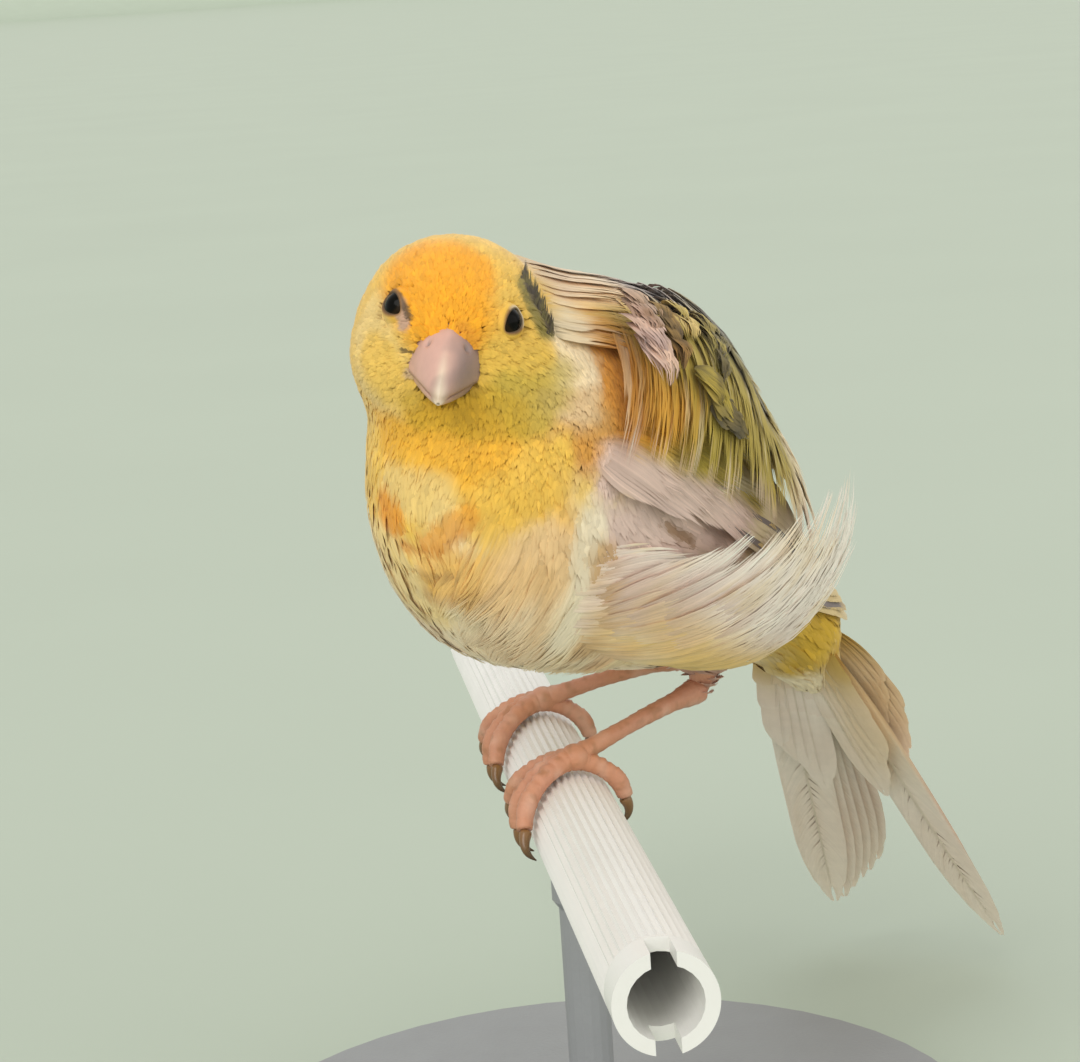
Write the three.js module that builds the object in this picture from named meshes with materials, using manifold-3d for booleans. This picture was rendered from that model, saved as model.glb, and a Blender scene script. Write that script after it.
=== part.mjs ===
// A frilled canary on a short cut length of fluted plastic perch, as a still life-size model.
// Millimetres, +Z up. The origin is the centre of the display stand's underside.
// X runs to the right and Y away along the perch. The bird's head turns towards -Y, its tail hangs at +X and +Y.

import * as THREE from 'three';
import { mergeVertices } from 'three/addons/utils/BufferGeometryUtils.js';
import Module from 'manifold-3d';

const wasm = await Module();
wasm.setup();

// Display stand
const BASE_RADIUS = 44;
const BASE_THICKNESS = 6;
const BASE_EDGE = 1.2;
const ROD_RADIUS = 2.5;
const CRADLE_RADIUS = 3.2;
const CRADLE_HEIGHT = 6;
const CRADLE_BELOW_AXIS = 3.4;
const FOOT_COLLAR_RADIUS = 4;
const FOOT_COLLAR_HEIGHT = 2;
const CLEARING_LENGTH = 30;
const ROUND_SIDES = 48;

// Perch: a fluted tube with a slot above and below at its near end, cut short at its far end
const PERCH_HEIGHT = 42;
const PERCH_RADIUS = 5;
const PERCH_NEAR = -58;
const PERCH_LENGTH = 150;
const PERCH_RIBS = 36;
const RIB_DEPTH = 0.35;
const BORE_RADIUS = 3.6;
const COLLAR_LENGTH = 4.5;
const SLOT_WIDTH = 2.4;
const SLOT_DEPTH = 4;

// Body: its axis runs from the base of the neck to the root of the tail
const NECK = [-7.5, -1.5, 85.5];
const ROOT = [31.5, 29.5, 54.5];

// Head: its middle, the way that the bill points, and how far it leans
const HEAD = [-9.7, -2.5, 98.2];
const GAZE_AZIMUTH = -100;
const GAZE_ELEVATION = -8.9;
const HEAD_ROLL = -12;
const EYE = [6.15, 4.95, 2.35];
const EYE_RADIUS = 2.1;
const LID_RADIUS = 2.25;
const LID_THICKNESS = 0.4;
const BILL_ROOT = [9.2, 0, -3.1];
const BILL_TIP = [17.3, 0, -3.3];
const BILL_MIDDLE = [11, 0, -3];
const BILL_REACH = 9;
const UPPER_BILL = { face: 1, width: 7.4, height: 5.1 };
const LOWER_BILL = { face: -1, width: 6.2, height: 1.7 };
const NOSTRIL = [11.3, 1.75, 0.35];
const NOSTRIL_RADIUS = 0.45;
const BILL_TIP_HALF_WIDTH = 0.25;
const BILL_TIP_HEIGHT = 0.35;
const BILL_DEPTH_IN_HEAD = 2.5;

// Tail: two halves of six feathers, parted towards their tips
const TAIL_LENGTH = 63;
const TAIL_HALVES = [
  { name: 'left', side: 1, azimuth: 42, elevation: -50, spread: 5 },
  { name: 'right', side: -1, azimuth: 69, elevation: -48, spread: 6 },
];
const RECTRICES = 6;
const RECTRIX_WIDTH = 6.4;
const FORK_DEPTH = 5;
const TAIL_COVERTS = 3;
const TAIL_AZIMUTH = 57;
const TAIL_ELEVATION = -50;

// Legs: where each foot grips along the perch, and the joints above it
const LEGS = [
  { name: 'left', along: 2.4, ankle: [16.2, 12, 51.8], knee: [20, 13, 65] },
  { name: 'right', along: 29.4, ankle: [16.8, 27.5, 52.2], knee: [22, 22, 64] },
];
const SHANK_RADIUS = 0.95;
const THIGH_RADIUS = 5.2;
const ANKLE_RADIUS = 1.8;
const PALM_RADIUS = 1.5;
const HEEL_LENGTH = 3.6;
const HEEL_RADII = [1.3, 1.15];
const TOE_RADIUS = 1.05;
const TOES = [
  { direction: -1, reach: 80, fan: -6.5 },
  { direction: -1, reach: 92, fan: -0.8 },
  { direction: -1, reach: 80, fan: 5.5 },
  { direction: 1, reach: 74, fan: 0.6 },
];
const CLAW_REACH = 28;
const CLAW_START = 3.5;
const CLAW_RADII = [0.7, 0.55, 0.35, 0.12];
const SHANK_RADII = [1.3, 1.05, SHANK_RADIUS, 1, 1.2];
const TOE_SHARES = [1.25, 1.05, 0.95, 1.05, 0.8];
const THIGH_SHARES = [1, 0.82, 0.6, 0.42, 0.24];

// Layers of the coat, as heights above the flesh
const ARM_HEIGHT = 1.35;
const ARM_THICKNESS = 1.5;
const PRIMARY_HEIGHT = 1;
const SECONDARY_HEIGHT = 1.9;
const GREATER_HEIGHT = 2.4;
const MEDIAN_HEIGHT = 2.9;
const MANTLE_HEIGHT = 4.5;
const FIN_HEIGHT = 5.6;
const VANE_THICKNESS = 0.55;

const GAP = 0.3;
const FLESH_STEP = 3.4;
const HEAD_STEP = 1.85;
const SEED = 7;

// Vectors as plain triples
const add = (a, b, k = 1) => [a[0] + b[0] * k, a[1] + b[1] * k, a[2] + b[2] * k];
const sub = (a, b) => [a[0] - b[0], a[1] - b[1], a[2] - b[2]];
const mul = (a, k) => [a[0] * k, a[1] * k, a[2] * k];
const dot = (a, b) => a[0] * b[0] + a[1] * b[1] + a[2] * b[2];
const size = (a) => Math.sqrt(dot(a, a));
const unit = (a) => mul(a, 1 / size(a));
const cross = (a, b) => [a[1] * b[2] - a[2] * b[1], a[2] * b[0] - a[0] * b[2], a[0] * b[1] - a[1] * b[0]];
const mix = (a, b, t) => a + (b - a) * t;
const blend = (a, b, t) => a.map((value, k) => mix(value, b[k], t));
const radians = (degrees) => degrees * Math.PI / 180;
const clamp = (x, low, high) => Math.min(Math.max(x, low), high);
const UP = [0, 0, 1];

function heading(azimuth, elevation) {
  const [a, e] = [radians(azimuth), radians(elevation)];
  return [Math.cos(a) * Math.cos(e), Math.sin(a) * Math.cos(e), Math.sin(e)];
}

// A local frame: its origin, three unit axes, and the point at given distances along them
function makeFrame(origin, axes) {
  const at = (x, y, z) => add(add(add(origin, axes[0], x), axes[1], y), axes[2], z);
  return { origin, axes, at };
}

// Body frame: tailwards, to the bird's left, and towards its back
const tailwards = unit(sub(ROOT, NECK));
const leftwards = unit(cross(tailwards, UP));
const body = makeFrame(NECK, [tailwards, leftwards, cross(leftwards, tailwards)]);

// Head frame: along the bill, to the bird's left, and towards the crown
const gaze = heading(GAZE_AZIMUTH, GAZE_ELEVATION);
const levelLeft = unit(cross(UP, gaze));
const levelUp = cross(gaze, levelLeft);
const roll = radians(HEAD_ROLL);
const headLeft = add(mul(levelLeft, Math.cos(roll)), levelUp, Math.sin(roll));
const head = makeFrame(HEAD, [gaze, headLeft, cross(gaze, headLeft)]);

// Tail frame: along the tail, to the bird's left, and towards its back
const tailAlong = heading(TAIL_AZIMUTH, TAIL_ELEVATION);
const tailLeft = unit(cross(tailAlong, UP));
const tail = makeFrame(ROOT, [tailAlong, tailLeft, cross(tailLeft, tailAlong)]);

// Distance fields, in which the flesh is the inside
function ellipsoid(p, centre, axes, radii) {
  const q = sub(p, centre);
  let near = 0;
  let far = 0;
  for (let k = 0; k < 3; k += 1) {
    const x = dot(q, axes[k]) / radii[k];
    near += x * x;
    far += (x / radii[k]) ** 2;
  }
  return Math.sqrt(near) * (Math.sqrt(near) - 1) / Math.sqrt(far);
}

function taper(p, a, b, radiusA, radiusB) {
  const ab = sub(b, a);
  const t = clamp(dot(sub(p, a), ab) / dot(ab, ab), 0, 1);
  return size(sub(p, add(a, ab, t))) - mix(radiusA, radiusB, t);
}

function join(x, y, softness) {
  const h = clamp(0.5 + 0.5 * (y - x) / softness, 0, 1);
  return mix(y, x, h) - softness * h * (1 - h);
}

function headField(p) {
  const skull = ellipsoid(p, head.at(-0.5, 0, 0), head.axes, [10, 8.9, 8.4]);
  const cheeks = ellipsoid(p, head.at(2.2, 0, -4), head.axes, [8, 9.7, 6.6]);
  const brow = ellipsoid(p, head.at(5, 0, 0.8), head.axes, [5.6, 6.4, 5.2]);
  return join(join(skull, cheeks, 2.5), brow, 2);
}

function torsoField(p) {
  const breast = ellipsoid(p, body.at(9.5, 0, -2), body.axes, [19.2, 15.4, 19]);
  const belly = ellipsoid(p, body.at(22, 0, -1.2), body.axes, [20.5, 14.6, 15]);
  const back = ellipsoid(p, body.at(13, 0, 7), body.axes, [15, 13, 11.5]);
  const rump = taper(p, body.at(33, 0, 1), body.at(57, 0, -0.5), 9.4, 5.2);
  const stump = taper(p, ROOT, tail.at(7, 0, 0), 5, 3.4);
  return join(join(join(join(breast, belly, 6), rump, 7), back, 5), stump, 3);
}

function flesh(p) {
  const neck = taper(p, head.at(-3, 0, -3), body.at(4, 0, 2), 9.5, 13.4);
  return join(join(torsoField(p), neck, 6), headField(p), 4);
}

// The surface that the coat lies along: the flesh, with a slim continuation down the tail
function lie(p) {
  return join(flesh(p), taper(p, tail.at(6, 0, 0), tail.at(45, 0, 0), 3.6, 2.5), 4);
}

function gradient(field, p) {
  const e = 0.05;
  const slope = [[e, 0, 0], [0, e, 0], [0, 0, e]].map((d) => field(add(p, d)) - field(sub(p, d)));
  return unit(slope);
}

// Moves a point along the field's slope until it is at the given height above the surface
function settle(p, height, field = lie, steps = 8) {
  let q = p;
  for (let step = 0; step < steps; step += 1) {
    q = add(q, gradient(field, q), height - field(q));
  }
  return q;
}

// The point at a station along the body, a direction about its axis in degrees, and a height above the flesh.
// Direction 0 is the bird's left and 90 its back.
function onBody(station, direction, height) {
  const out = add(mul(body.axes[1], Math.cos(radians(direction))), body.axes[2], Math.sin(radians(direction)));
  const start = body.at(station, 0, 0);
  let [low, high] = [0, 60];
  for (let step = 0; step < 30; step += 1) {
    const middle = (low + high) / 2;
    if (lie(add(start, out, middle)) < height) low = middle;
    else high = middle;
  }
  return add(start, out, low);
}

// Solids
function solid(positions, triangles) {
  const mesh = new wasm.Mesh({
    numProp: 3,
    vertProperties: new Float32Array(positions.flat()),
    triVerts: new Uint32Array(triangles.flat()),
  });
  mesh.merge();
  return new wasm.Manifold(mesh);
}

function solidOf(geometry) {
  const bare = geometry.clone();
  bare.deleteAttribute('normal');
  bare.deleteAttribute('uv');
  const merged = mergeVertices(bare, 1e-4);
  const mesh = new wasm.Mesh({
    numProp: 3,
    vertProperties: new Float32Array(merged.attributes.position.array),
    triVerts: new Uint32Array(merged.index.array),
  });
  return new wasm.Manifold(mesh);
}

// The largest closed surface of the pieces joined together
function fuse(pieces) {
  const parts = wasm.Manifold.union(pieces).decompose();
  return parts.reduce((best, part) => (Math.abs(part.volume()) > Math.abs(best.volume()) ? part : best));
}

// All that lies on the side of a plane to which its normal points
function halfSpace(point, normal) {
  const reach = 200;
  const box = new THREE.BoxGeometry(2 * reach, 2 * reach, 2 * reach);
  box.translate(0, 0, reach);
  const turn = new THREE.Quaternion().setFromUnitVectors(new THREE.Vector3(...UP), new THREE.Vector3(...normal));
  box.applyQuaternion(turn);
  box.translate(...point);
  return solidOf(box);
}

// The twelve edges of a grid cell, and how far a point may move from the middle of its crossings
const CELL_CORNERS = Array.from({ length: 8 }, (_, k) => [k & 1, (k >> 1) & 1, k >> 2]);
const CELL_EDGES = CELL_CORNERS.flatMap((a, i) => CELL_CORNERS.slice(i + 1)
  .filter((b) => a.reduce((sum, value, axis) => sum + Math.abs(value - b[axis]), 0) === 1)
  .map((b) => [a, b]));
const CELL_MOVE = 0.2;

// The surface of a field inside a box, as a mesh of squares with one point in each cell that it crosses.
// The rim of the box counts as outside, so that the surface closes there.
function polygonise(field, low, high, step) {
  const counts = low.map((value, k) => Math.ceil((high[k] - value) / step) + 1);
  const index = (i, j, k) => (k * counts[1] + j) * counts[0] + i;
  const corner = (i, j, k) => [low[0] + i * step, low[1] + j * step, low[2] + k * step];
  const values = new Float64Array(counts[0] * counts[1] * counts[2]);
  for (let k = 0; k < counts[2]; k += 1) {
    for (let j = 0; j < counts[1]; j += 1) {
      for (let i = 0; i < counts[0]; i += 1) {
        const rim = [i, j, k].some((value, axis) => value <= 1 || value >= counts[axis] - 2);
        values[index(i, j, k)] = rim ? step : field(corner(i, j, k));
      }
    }
  }
  const positions = [];
  const cells = new Map();
  const cellPoint = (i, j, k) => {
    const key = index(i, j, k);
    if (!cells.has(key)) {
      const crossings = CELL_EDGES.flatMap(([a, b]) => {
        const [from, to] = [a, b].map(([x, y, z]) => [i + x, j + y, k + z]);
        const [low, high] = [values[index(...from)], values[index(...to)]];
        return (low < 0) === (high < 0) ? [] : [blend(corner(...from), corner(...to), low / (low - high))];
      });
      const middle = mul(crossings.reduce((sum, point) => add(sum, point), [0, 0, 0]), 1 / crossings.length);
      const settled = settle(middle, 0, field, 2);
      const most = CELL_MOVE * step;
      const move = sub(settled, middle);
      cells.set(key, positions.length);
      positions.push(size(move) > most ? middle : settled);
    }
    return cells.get(key);
  };
  const triangles = [];
  for (let k = 1; k < counts[2] - 1; k += 1) {
    for (let j = 1; j < counts[1] - 1; j += 1) {
      for (let i = 1; i < counts[0] - 1; i += 1) {
        const here = values[index(i, j, k)] < 0;
        const edges = [
          [values[index(i + 1, j, k)] < 0, [[i, j, k], [i, j - 1, k], [i, j - 1, k - 1], [i, j, k - 1]]],
          [values[index(i, j + 1, k)] < 0, [[i, j, k], [i, j, k - 1], [i - 1, j, k - 1], [i - 1, j, k]]],
          [values[index(i, j, k + 1)] < 0, [[i, j, k], [i - 1, j, k], [i - 1, j - 1, k], [i, j - 1, k]]],
        ];
        for (const [there, around] of edges) {
          if (here === there) continue;
          const [a, b, c, d] = around.map((cell) => cellPoint(...cell));
          if (here) triangles.push([a, b, c], [a, c, d]);
          else triangles.push([c, b, a], [d, c, a]);
        }
      }
    }
  }
  return solid(positions, triangles);
}

// A closed skin over rings of equal numbers of points, closed at each end round the ring's middle
function loft(rings) {
  const sides = rings[0].length;
  const positions = rings.flat();
  const triangles = [];
  for (let ring = 0; ring + 1 < rings.length; ring += 1) {
    for (let k = 0; k < sides; k += 1) {
      const [a, b] = [ring * sides + k, ring * sides + (k + 1) % sides];
      triangles.push([a, b, b + sides], [a, b + sides, a + sides]);
    }
  }
  for (const [ring, start] of [[rings[0], 0], [rings.at(-1), (rings.length - 1) * sides]]) {
    const middle = positions.length;
    positions.push(mul(ring.reduce((sum, point) => add(sum, point), [0, 0, 0]), 1 / sides));
    for (let k = 0; k < sides; k += 1) {
      const [a, b] = [start + k, start + (k + 1) % sides];
      triangles.push(start === 0 ? [middle, b, a] : [middle, a, b]);
    }
  }
  const made = solid(positions, triangles);
  return made.volume() < 0 ? solid(positions, triangles.map(([a, b, c]) => [a, c, b])) : made;
}

// A round tube of changing radius along a path
function tube(path, radii, sides = 8) {
  const rings = path.map((point, ring) => {
    const along = unit(sub(path[Math.min(ring + 1, path.length - 1)], path[Math.max(ring - 1, 0)]));
    const across = unit(cross(along, Math.abs(along[1]) > 0.9 ? UP : [0, 1, 0]));
    const third = cross(along, across);
    return Array.from({ length: sides }, (_, k) => {
      const turn = 2 * Math.PI * k / sides;
      return add(add(point, across, radii[ring] * Math.cos(turn)), third, radii[ring] * Math.sin(turn));
    });
  });
  return loft(rings);
}

// A bend through three points, as evenly spaced points of a curve
function bend(a, b, c, count) {
  return Array.from({ length: count }, (_, k) => {
    const t = k / (count - 1);
    return blend(blend(a, b, t), blend(b, c, t), t);
  });
}

// How wide a vane is at a fraction of its length, as a share of its full width
function outline(t, root, tip) {
  const swell = mix(root, 1, Math.sin(Math.min(t / 0.45, 1) * Math.PI / 2));
  return t < 0.6 ? swell : mix(tip, 1, Math.cos((t - 0.6) / 0.4 * Math.PI / 2));
}

// One feather or lock: a flat tapered strip that follows its path, thin at its tip.
// Each point of the path has a height above the surface, or lies free with a normal of its own.
function vane({ path, heights, width, normal, thickness = VANE_THICKNESS, tilt = 0, root = 0.45, tip = 0.22, cup = 0 }) {
  const last = path.length - 1;
  const rings = path.map((point, k) => {
    const along = unit(sub(path[Math.min(k + 1, last)], path[Math.max(k - 1, 0)]));
    const outward = normal ?? gradient(lie, point);
    const across = unit(cross(along, outward));
    const lift = cross(across, along);
    const t = k / last;
    const half = 0.5 * width * outline(t, root, tip);
    const thick = thickness * mix(1, 0.6, clamp((t - 0.7) / 0.3, 0, 1));
    const corners = [[-1, 1], [1, 1], [1, -1], [-1, -1]];
    return corners.map(([edge, face]) => {
      const out = edge * half;
      const raise = face * thick / 2 + out * tilt + Math.abs(out) * cup;
      const beside = add(point, across, out);
      return heights ? settle(beside, heights[k] + raise) : add(beside, lift, raise);
    });
  });
  return vaneSolid(rings);
}

// The solid of a vane, with the upper and lower face cut into triangles alike
function vaneSolid(rings) {
  const positions = rings.flat();
  const triangles = [];
  for (let ring = 0; ring + 1 < rings.length; ring += 1) {
    const [a, b] = [4 * ring, 4 * ring + 4];
    triangles.push([a, a + 1, b + 1], [a, b + 1, b]);
    triangles.push([a + 3, b + 2, a + 2], [a + 3, b + 3, b + 2]);
    triangles.push([a + 1, a + 2, b + 2], [a + 1, b + 2, b + 1]);
    triangles.push([a + 3, a, b], [a + 3, b, b + 3]);
  }
  const end = 4 * (rings.length - 1);
  triangles.push([0, 2, 1], [0, 3, 2]);
  triangles.push([end, end + 1, end + 2], [end, end + 2, end + 3]);
  const made = solid(positions, triangles);
  return made.volume() < 0 ? solid(positions, triangles.map(([p, q, r]) => [p, r, q])) : made;
}

// A vane over the body, led by three places, each a station, a direction and a height.
// Where a rise is given, the vane climbs to its height in that share of its length.
function bodyVane(from, over, to, options) {
  const count = options.count ?? 6;
  const places = bend(from, over, to, count).map((place, k) => {
    const climb = options.rise ? Math.min(k / (count - 1) / options.rise, 1) : 0;
    return options.rise ? [place[0], place[1], mix(from[2], mix(over[2], to[2], climb), climb)] : place;
  });
  const path = places.map((place) => onBody(...place));
  return vane({ ...options, path, heights: places.map((place) => place[2]) });
}

// Even spread of a value over a row of pieces
const along = (first, last, index, count) => mix(first, last, index / (count - 1));

let state = SEED;
function vary(amount) {
  state = (state * 16807) % 2147483647;
  return (state / 2147483647 * 2 - 1) * amount;
}

// Places mirrored to the bird's right
const mirror = (place, side) => (side > 0 ? place : [place[0], 180 - place[1], place[2]]);

// Flesh, parted by thin cuts into head, neck, torso and the two halves of the tail's root
const FLESH_LOW = [-34, -26, 40];
const FLESH_HIGH = [48, 48, 114];
const throat = unit(add(mul(head.axes[0], 0.51), head.axes[2], 0.86));
const HEAD_REACH = 20;
const HEAD_CUT = -4.1;
const NECK_CUT = -7.6;
const TAIL_CUT = -1;

function cutAbove(cut, offset) {
  return halfSpace(add(HEAD, throat, cut + offset), throat);
}

function cutBelow(cut, offset) {
  return halfSpace(add(HEAD, throat, cut + offset), mul(throat, -1));
}

const beforeTail = halfSpace(tail.at(TAIL_CUT - GAP / 2, 0, 0), mul(tailAlong, -1));
const behindTail = halfSpace(tail.at(TAIL_CUT + GAP / 2, 0, 0), tailAlong);

function makeHead() {
  const low = add(HEAD, [1, 1, 1], -HEAD_REACH);
  const high = add(HEAD, [1, 1, 1], HEAD_REACH);
  const whole = polygonise(flesh, low, high, HEAD_STEP).intersect(cutAbove(HEAD_CUT, GAP / 2));
  const sockets = [1, -1].map((side) => eyeBall(side, EYE_RADIUS + GAP));
  const lids = [1, -1].map((side) => lidRing(side));
  const pieces = [fuse([whole, ...lids]), ...sockets];
  return fuse([pieces.reduce((rest, socket) => rest.subtract(socket))]);
}

function makeNeck(fleshSolid) {
  return fuse([fleshSolid.intersect(cutBelow(HEAD_CUT, -GAP / 2)).intersect(cutAbove(NECK_CUT, GAP / 2))]);
}

// Eyes: balls in sockets, each ringed by its lids
function eyeCentre(side) {
  return head.at(EYE[0], side * EYE[1], EYE[2]);
}

function eyeBall(side, radius) {
  const ball = new THREE.SphereGeometry(radius, 12, 8);
  ball.translate(...eyeCentre(side));
  return solidOf(ball);
}

function lidRing(side) {
  const centre = eyeCentre(side);
  const out = gradient(flesh, centre);
  const depth = -flesh(centre);
  const ring = new THREE.TorusGeometry(LID_RADIUS, LID_THICKNESS, 5, 14);
  ring.applyQuaternion(new THREE.Quaternion().setFromUnitVectors(new THREE.Vector3(...UP), new THREE.Vector3(...out)));
  ring.translate(...add(centre, out, depth + 0.05));
  return solidOf(ring);
}

// Bill: an upper and a lower half, parted along the line of the mouth
function billHalf({ face, width, height }) {
  const rings = [];
  const steps = 6;
  const sides = 10;
  for (let ring = 0; ring <= steps; ring += 1) {
    const t = ring / steps;
    const base = blend(BILL_ROOT, BILL_TIP, t);
    const half = 0.5 * width * (1 - t) ** 0.9 + BILL_TIP_HALF_WIDTH;
    const tall = height * (1 - t ** 1.4) ** 0.95 + BILL_TIP_HEIGHT;
    rings.push(Array.from({ length: sides }, (_, k) => {
      const turn = Math.PI * k / (sides - 1);
      const out = half * Math.cos(turn);
      const rise = GAP / 2 + tall * Math.sin(turn) ** 0.85;
      return head.at(base[0], out, base[2] + face * rise);
    }));
  }
  const back = rings[0].map((point) => add(point, gaze, -BILL_DEPTH_IN_HEAD));
  return loft([back, ...rings]);
}

function makeBill(bill) {
  const low = add(head.at(...BILL_MIDDLE), [1, 1, 1], -BILL_REACH);
  const high = add(head.at(...BILL_MIDDLE), [1, 1, 1], BILL_REACH);
  const clear = polygonise((p) => flesh(p) - GAP, low, high, HEAD_STEP);
  const nostrils = [1, -1].map((side) => {
    const pit = new THREE.SphereGeometry(NOSTRIL_RADIUS, 8, 6);
    pit.translate(...head.at(NOSTRIL[0], side * NOSTRIL[1], NOSTRIL[2]));
    return solidOf(pit);
  });
  const half = billHalf(bill).subtract(clear);
  return fuse([bill.face > 0 ? nostrils.reduce((rest, pit) => rest.subtract(pit), half) : half]);
}

// Mantle: long feathers that part along the back and fall over both shoulders, in two tiers
function mantleVanes(side) {
  const rows = [
    { count: 6, height: MANTLE_HEIGHT, root: [8, 34], tip: [-1, 44], start: 78, low: [-6, 20], width: 7.4 },
    { count: 5, height: MANTLE_HEIGHT + 0.95, root: [8, 31], tip: [5, 40], start: 85, low: [26, 44], width: 6.8 },
  ];
  return rows.flatMap((row) => Array.from({ length: row.count }, (_, k) => {
    const root = along(...row.root, k, row.count);
    const tip = along(...row.tip, k, row.count) + vary(0.8);
    const low = along(...row.low, k, row.count) + vary(2);
    const from = mirror([root, row.start, -0.8], side);
    const over = mirror([mix(root, tip, 0.35), row.start - 10, row.height], side);
    const to = mirror([tip, low, row.height + 0.3], side);
    return bodyVane(from, over, to, { width: row.width, tilt: 0.04 * side, tip: 0.35, root: 0.35, rise: 0.38 });
  }));
}

// Flank frill: broad feathers that rise from below the wing and curl out past it
function finVanes(side) {
  const count = 5;
  return Array.from({ length: count }, (_, k) => {
    const root = along(6, 29, k, count);
    const rise = along(-8, 40, k, count) + vary(1.5);
    const from = mirror([root, -58, -0.8], side);
    const over = mirror([root + 8, -30, FIN_HEIGHT], side);
    const to = mirror([along(24, 39, k, count), rise, FIN_HEIGHT + along(0.4, 5.2, k, count)], side);
    return bodyVane(from, over, to, { width: 7.8, tilt: 0.12 * side, tip: 0.35, thickness: 0.6 });
  });
}

// Breast frill: locks from both sides that curl in towards the breastbone
function breastVanes(side) {
  const count = 5;
  return Array.from({ length: count }, (_, k) => {
    const root = along(-3, 18, k, count);
    const from = mirror([root, -38, -1], side);
    const over = mirror([root + 2, -62, 2.2], side);
    const to = mirror([root + 4 + vary(0.6), -83, 2.2], side);
    return bodyVane(from, over, to, { width: 5.4, thickness: 0.7, tip: 0.4, tilt: 0.08 * side, count: 5 });
  });
}

function makeTorso(fleshSolid, fleshRoom) {
  const trunk = fleshSolid.intersect(cutBelow(NECK_CUT, -GAP / 2)).intersect(beforeTail);
  const frills = [1, -1].flatMap((side) => [...mantleVanes(side), ...finVanes(side), ...breastVanes(side)]);
  const neckRoom = fleshRoom.intersect(cutAbove(NECK_CUT, -GAP / 2));
  return fuse([fuse([trunk, ...frills]).subtract(neckRoom)]);
}

// Wing: the folded arm and hand lie along the flank, and carry the feathers in tiers, the outer over the inner
const WRIST = [1.5, 6];
const ELBOW = [18, 50];
const FINGER = [21, 11];

function wingBar(side, end, width) {
  const from = mirror([...WRIST, ARM_HEIGHT], side);
  const to = mirror([...end, ARM_HEIGHT], side);
  return bodyVane(from, blend(from, to, 0.5), to, { width, thickness: ARM_THICKNESS, root: 0.7, tip: 0.6 });
}

function wingTier(side, tier) {
  return Array.from({ length: tier.count }, (_, k) => {
    const part = (pair) => along(...pair, k, tier.count);
    const root = blend(tier.rootFrom, tier.rootTo, k / (tier.count - 1));
    const from = mirror([...root, part(tier.start)], side);
    const to = mirror([part(tier.station) + vary(0.4), part(tier.direction), part(tier.end)], side);
    const middle = blend([...root, 0], mirror(to, side), 0.5);
    const over = mirror([middle[0], middle[1] + tier.bow, (part(tier.start) + part(tier.end)) / 2], side);
    return bodyVane(from, over, to, { width: tier.width, tilt: tier.tilt * side, tip: 0.25, count: tier.steps });
  });
}

function makeWing(side) {
  const tiers = [
    { count: 5, steps: 6, rootFrom: [12, 5], rootTo: [20, 21], start: [1.1, 1.6], station: [61, 52],
      direction: [32, 54], end: [PRIMARY_HEIGHT, PRIMARY_HEIGHT + 2.2], bow: -7, width: 4.6, tilt: 0 },
    { count: 4, steps: 5, rootFrom: [14, 32], rootTo: [17, 47], start: [1.4, 1.6], station: [45, 37],
      direction: [42, 60], end: [SECONDARY_HEIGHT, SECONDARY_HEIGHT], bow: 0, width: 5.6, tilt: 0.05 },
    { count: 5, steps: 5, rootFrom: [6, 14], rootTo: [15, 42], start: [1.5, 1.7], station: [24, 34],
      direction: [0, 50], end: [GREATER_HEIGHT, GREATER_HEIGHT], bow: 0, width: 5.4, tilt: 0.04 },
    { count: 4, steps: 4, rootFrom: [3, 9], rootTo: [11, 34], start: [1.6, 1.8], station: [13, 23],
      direction: [0, 46], end: [MEDIAN_HEIGHT, MEDIAN_HEIGHT], bow: 0, width: 5.6, tilt: 0.04 },
  ];
  const bars = [wingBar(side, ELBOW, 6), wingBar(side, FINGER, 5)];
  return fuse([...bars, ...tiers.flatMap((tier) => wingTier(side, tier))]);
}

// Tail half: six flight feathers stacked like a hand of cards, with coverts below and above
function makeTailHalf(half, fleshSolid) {
  const direction = heading(half.azimuth, half.elevation);
  const across = unit(cross(direction, UP));
  const lift = cross(across, direction);
  const inner = halfSpace(tail.at(0, half.side * GAP / 2, 0), mul(tailLeft, half.side));
  const stump = fleshSolid.intersect(behindTail);
  const start = (k, rise) => add(tail.at(0.5, half.side * along(0.8, 2.6, k, RECTRICES), 0), lift, rise);
  const flight = Array.from({ length: RECTRICES }, (_, k) => {
    const rise = along(2.1, -2.1, k, RECTRICES);
    const reach = TAIL_LENGTH - along(FORK_DEPTH, 0, k, RECTRICES) + vary(0.8);
    const end = add(add(add(ROOT, direction, reach), across, half.side * along(-0.5, 0.5, k, RECTRICES) * half.spread),
      lift, rise);
    const from = start(k, rise * 0.3);
    const middle = add(blend(from, end, 0.45), lift, rise * 0.4);
    const path = bend(from, middle, end, 6);
    return vane({ path, width: RECTRIX_WIDTH, normal: lift, root: 0.5, tip: 0.3, tilt: 0 });
  });
  const coverts = [1, -1].flatMap((face) => Array.from({ length: TAIL_COVERTS }, (_, k) => {
    const from = add(start(along(0, RECTRICES - 1, k, TAIL_COVERTS), face * 1.2), direction, 0.6);
    const reach = along(30, 22, k, TAIL_COVERTS) + vary(1);
    const level = add(ROOT, lift, face * 3.3);
    const end = add(add(level, direction, reach), across, half.side * along(0.4, 4.2, k, TAIL_COVERTS));
    const middle = add(blend(from, end, 0.5), lift, face * 1.4);
    const path = bend(from, middle, end, 5);
    return vane({ path, width: 4.8, normal: lift, root: 0.5, tip: 0.3 });
  }));
  return fuse([fuse([stump, ...flight, ...coverts]).intersect(inner).intersect(behindTail)]);
}

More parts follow.
